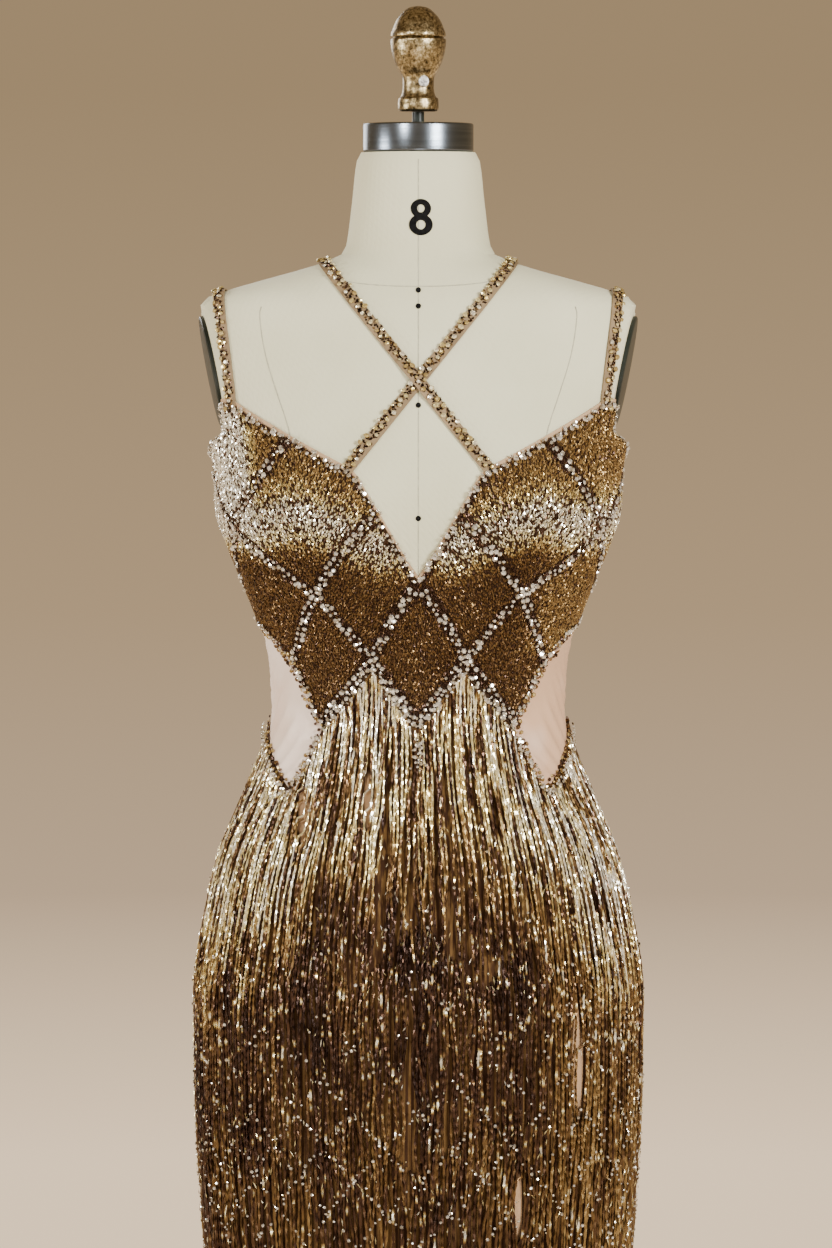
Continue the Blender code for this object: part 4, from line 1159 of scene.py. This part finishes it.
borders = []
for line in EDGE_LINES:
    borders.append(stones_along(line, BEAD_TOP + 0.0004, pitch=0.0080, rows=1, chance=0.9, size=0.0056))
    borders.append(stones_along(line, BEAD_TOP + 0.0004, pitch=0.0052, rows=2, chance=0.7, size=0.0036))
for line in ROOT_LINES:
    borders.append(stones_along(line, CLOTH_OUTER + 0.0056, pitch=0.0080, rows=1, size=0.0050))
    borders.append(stones_along(line, CLOTH_OUTER + 0.0056, pitch=0.0050, rows=2, size=0.0034))
add_mesh("border_stones", *joined(borders), CRYSTAL, "crystal_trim")

edging = []
for line in CUTOUT_LINES:
    edging.append(stones_along(line, CLOTH_OUTER + 0.0012, pitch=0.0040, rows=3, spread=0.0016, size=0.0042))
edging = joined(edging)
tones = random.choice(CUTOUT_TONES, len(edging[0]) // STONE_CORNERS)
add_mesh("cutout_edge_beads", *edging, BEADS, "beaded_cloth", tone=np.repeat(tones, STONE_CORNERS))

# %% [markdown]
# On the skirt the crystals trace faint diamonds over the fringe, sparser on the hips than below.
# Two zigzags, one half a swing from the other, cross at each height and leave diamonds between them.

# %% Crystal lines of the skirt
SKIRT_OUT = CLOTH_OUTER + 0.0062
SKIRT_STONE = 0.0032
# Each row of diamonds: its middle height, the chance of a stone and how far stones stray
SKIRT_ROWS = (
    (0.703, 0.74, 0.0014), (0.761, 0.36, 0.0014), (0.819, 0.20, 0.0014),
    (0.645, 0.78, 0.0014), (0.587, 0.60, 0.0014), (0.529, 0.40, 0.0014),
    (0.877, 0.16, 0.0040), (0.935, 0.12, 0.0040), (0.993, 0.10, 0.0040),
)

degrees = np.arange(-180, 180.1, 360 / DIAMONDS / 2)
parts = []
for middle, chance, shake in SKIRT_ROWS:
    for turn in (0, 15):
        line = np.stack([degrees, zigzag(degrees, middle, 0.029, turn)], axis=1)
        parts.append(stones_along(line, SKIRT_OUT, rows=1, chance=chance, size=SKIRT_STONE, shake=shake))
add_mesh("skirt_stones", *joined(parts), CRYSTAL, "crystal_trim")

# %% [markdown]
# The straps are narrow nude tapes crusted with beads and pale stones. A strap is laid like a tape measure:
# seen from the front it is straight, and rays from inside the shoulder find where it meets the form.

# %% Where the straps lie
# Where each strap starts, crosses the shoulder and ends: (x, height)
STRAPS = {
    "strap_shoulder_right": {"front": (0.160, 1.339), "top": (0.174, 1.440), "back": (0.119, 1.276)},
    "strap_shoulder_left": {"front": (-0.160, 1.339), "top": (-0.174, 1.440), "back": (-0.119, 1.276)},
    "strap_cross_under": {"front": (-0.0625, 1.288), "top": (0.084, 1.468), "back": (-0.062, 1.226)},
    "strap_cross_over": {"front": (0.0625, 1.288), "top": (-0.084, 1.468), "back": (0.062, 1.226)},
}
PIVOT = 1.36
RAYS = np.linspace(-0.9, math.pi + 1.2, 500)
RAY_LENGTH = 0.3
STRAP_STEPS = 120
NORMAL_BLUR = 0.006


def depth_at(x, height, front):
    """How far the body reaches in front of the axis, or behind it, at x and a height: the oval solved for its
    depth, plus the bust."""
    half, fore, aft, square = section_at(np.clip(height, FORM_BOTTOM, FORM_TOP))
    y = np.where(front, fore, aft) * (1 - np.minimum(1, np.abs(x) / half) ** square) ** (1 / square)
    return y + front * bust_hump(x, height)


def strap_path(spec):
    """Evenly spaced points, normals and lengths of a strap from front to back. Each ray's length is halved in
    on the surface, and x follows the height from the strap's end to its top, so both are found in turns."""
    front = np.cos(RAYS) > 0
    low_x, low_z = (np.where(front, *ends) for ends in zip(spec["front"], spec["back"]))
    top_x, top_z = spec["top"]
    x = low_x
    for _ in range(6):
        near, far = np.zeros(len(RAYS)), np.full(len(RAYS), RAY_LENGTH)
        for _ in range(24):
            reach = (near + far) / 2
            inside = np.abs(reach * np.cos(RAYS)) < depth_at(x, PIVOT + reach * np.sin(RAYS), front)
            near, far = np.where(inside, reach, near), np.where(inside, far, reach)
        height = PIVOT + near * np.sin(RAYS)
        x = low_x + (top_x - low_x) * np.clip((height - low_z) / (top_z - low_z), 0, 1)
    half, _, _, square = section_at(np.clip(height, FORM_BOTTOM, FORM_TOP))
    turn = np.arcsin(np.sign(x) * np.minimum(1, np.abs(x) / half) ** (square / 2))
    normals = outward(np.where(front, turn, math.pi - turn), height)
    kept = height >= low_z
    points = np.stack([x, -near * np.cos(RAYS), height], axis=1)[kept]
    along = lengths(points)
    even = np.linspace(0, along[-1], STRAP_STEPS)
    blur = bell(even[:, None], along, NORMAL_BLUR)
    blur /= blur.sum(axis=1, keepdims=True)
    return read_along(even, along, points), unit(blur @ normals[kept]), even


print("straps:", len(STRAPS))

# %% [markdown]
# Each tape is a thin closed ribbon. It rises at its ends, to lie over the bodice, and where one strap passes
# over the other. Glass beads in every direction cover it except along its inner edge, where the tape shows.
# Cut stones of pale gold run up it, in turn near the outer edge and near the middle.

# %% Strap tapes, beads and stones
TAPE_WIDTH, TAPE_OUTER, TAPE_INNER = 0.0104, 0.0018, 0.0006
TAPE_RISE, CROSSING_REACH, END_REACH = 0.0026, 0.011, 0.007
BEAD_STEP, BEAD_SHARES = 0.0007, (-0.27, 0.5)  # shares of the tape's width, from its middle outwards
STRAP_TONES = [0.01, 0.03, 0.07, 0.14, 0.34]
STRAP_STONE_STEP, STONE_SIDES = 0.0043, (0.0040, -0.0008)


def on_tape(tape, even, at, offset, out):
    """Points on a tape's outer face, with its normals and sides, at lengths along it and distances across it.
    A row of the tape holds a point, a normal, a side and how far the tape is lifted there."""
    read = read_along(at, even, tape)
    point, normal, side, lift = read[:, :3], read[:, 3:6], read[:, 6:9], read[:, 9:]
    return point + normal * (lift + TAPE_OUTER + out) + side * offset[:, None], normal, side


random = np.random.default_rng(31)
strap_stones = []
for node, spec in STRAPS.items():
    points, normals, even = strap_path(spec)
    length = float(even[-1])
    side = unit(np.cross(np.gradient(points, axis=0), normals))
    crossing = bell(points[:, 0], 0, CROSSING_REACH) * (node == "strap_cross_over")
    lift = TAPE_RISE * (crossing + bell(even, 0, END_REACH) + bell(even, length, END_REACH))[:, None]
    wide = np.linspace(-0.5, 0.5, 5)[:, None] * TAPE_WIDTH * side[:, None]
    skins = [points[:, None] + (normals * (lift + out))[:, None] + wide for out in (TAPE_OUTER, TAPE_INNER)]
    faces = sheet_faces(STRAP_STEPS, 5)
    shell = add_mesh(f"{node}_tape", np.concatenate(skins), faces, TAPE, "beaded_strap", node)
    SHEETS[shell.name] = (shell, TAPE_WIDTH, round(length, 3), TAPE_WIDTH * round(length, 3))
    tape = np.concatenate([points, normals, side, lift], axis=1)
    outer = math.copysign(1, spec["front"][0])

    count = int(length / BEAD_STEP)
    at = np.linspace(0, length, count) + random.normal(0, 0.0008, count)
    offset = random.uniform(*BEAD_SHARES, count) * TAPE_WIDTH * outer
    centres, up, flat = on_tape(tape, even, at, offset, 0.0008)
    spin = random.uniform(0, math.pi, count)[:, None]
    along = flat * np.cos(spin) + np.cross(up, flat) * np.sin(spin)
    bead_length = random.uniform(0.0026, 0.0040, count)
    beads = rice_beads(centres, along, up, bead_length, random.uniform(0.0016, 0.0024, count))
    tone = np.repeat(random.choice(STRAP_TONES, count), 5)
    add_mesh(f"{node}_beads", *beads, BEADS, "beaded_strap", tone=tone)

    count = int(length / STRAP_STONE_STEP)
    at = np.linspace(0.003, length - 0.003, count) + random.normal(0, 0.0010, count)
    offset = (np.resize(STONE_SIDES, count) + random.normal(0, 0.0009, count)) * outer
    strap_stones.append(crystals(*on_tape(tape, even, at, offset, 0.0016), 0.25, (0.0034, 0.0056), random))
strap_stones = joined(strap_stones)
tones = random.uniform(0.58, 0.98, len(strap_stones[0]) // STONE_CORNERS)
add_mesh("strap_stones", *strap_stones, BEADS, "crystal_trim", tone=np.repeat(tones, STONE_CORNERS))

# %% [markdown]
# Loose bugle beads stick out of the fringe here and there, coloured pale champagne to white as painted
# glints.
# They lie mostly upright, tilted at random. Their angles are read through the body's own even shares, so that
# none crowd at the sides.

# %% Loose bugles
BUGLES = 2300
BUGLE_RANGE = (0.42, 0.56)  # lowest height, and how far above it they reach

random = np.random.default_rng(41)
turn = random.uniform(-math.pi, math.pi, BUGLES)
rise = BUGLE_RANGE[0] + BUGLE_RANGE[1] * random.random(BUGLES) ** 0.9
turn = np.interp(turn, np.linspace(-math.pi, math.pi, 361), even_angles(361, 0.8))
centres = on_body(turn, rise, SKIRT_OUT - 0.0006 + random.uniform(0, 0.0012, BUGLES))
lean = random.normal(0, 0.32, BUGLES)
along, facing = laid(outward(turn, rise), lean, random.normal(0, 0.10, BUGLES))
length = random.uniform(0.0020, 0.008, BUGLES)
bugles = rice_beads(centres, along, facing, length, random.uniform(0.0008, 0.0014, BUGLES))
# Painted glints: the bugles are coloured near white.
tone = np.repeat(random.uniform(0.75, 1.0, BUGLES), 5)
add_mesh("loose_bugles", *bugles, BEADS, "bead_fringe", tone=tone)

# %% [markdown]
# The set is a plain round floor and a warm beige backdrop, which is only the world's own colour, paler low
# down. A small key lamp from the upper left makes the facets flash. A strong wide one on the right fills the
# rest, and weak ones low in front and behind keep the fringe and the outline from going black.

# %% Floor and light
FLOOR_RADIUS, FLOOR_SIDES = 2.0, 96
BACKDROP = (
    (0.275, 0.98, 0.74, 0.49), (0.34, 0.46, 0.333, 0.215),
    (0.41, 0.37, 0.261, 0.152), (0.54, 0.285, 0.1985, 0.1096),
)
LAMPS = {
    "key": {"place": (-1.5, -2.6, 2.6), "size": 0.5, "watts": 46},
    "side": {"place": (-2.6, -0.7, 1.5), "size": 0.8, "watts": 40},
    "second": {"place": (1.9, -2.4, 2.2), "size": 0.9, "watts": 134},
    "low": {"place": (0.2, -3.0, 0.6), "size": 0.9, "watts": 12},
    "behind": {"place": (-1.4, 2.3, 2.1), "size": 1.2, "watts": 22},
}
LAMP_AIM = Vector((0, 0, 1.1))

FLOOR, shader = finish("studio_floor", Roughness=0.9)
paint(shader, noise(shader, 0.8), (0.3, 0.50, 0.40, 0.30), (0.7, 0.53, 0.43, 0.33))
turn, corner = round_turn(FLOOR_SIDES), np.arange(FLOOR_SIDES)
rim = np.stack([FLOOR_RADIUS * np.cos(turn), FLOOR_RADIUS * np.sin(turn), 0 * turn], axis=1)
spokes = np.stack([corner, (corner + 1) % FLOOR_SIDES, np.full(FLOOR_SIDES, FLOOR_SIDES)], axis=1)
add_mesh("floor", np.concatenate([rim, [(0, 0, 0)]]), spokes, FLOOR)

world = bpy.data.worlds.new("studio")
bpy.context.scene.world = world
world.use_nodes = True
sky, background = world.node_tree, world.node_tree.nodes["Background"]
up_sky = add_node(sky, "SeparateXYZ", Vector=add_node(sky, "TexCoord").outputs["Generated"]).outputs["Z"]
sky.links.new(colour_ramp(combine("ADD", up_sky, 0.5), BACKDROP), background.inputs["Color"])
background.inputs["Strength"].default_value = 1.35

for name, lamp in LAMPS.items():
    light = bpy.data.objects.new(name, bpy.data.lights.new(name, "AREA"))
    bpy.context.scene.collection.objects.link(light)
    light.data.size = lamp["size"]
    light.data.energy = lamp["watts"]
    light.location = lamp["place"]
    light.rotation_euler = (LAMP_AIM - light.location).to_track_quat("-Z", "Y").to_euler()
print("lamps", list(LAMPS))

# %% [markdown]
# Each piece of cloth's area is kept no larger than its cut width times its length.

for piece, width, length, area in SHEETS.values():
    area = min(area, width * length)
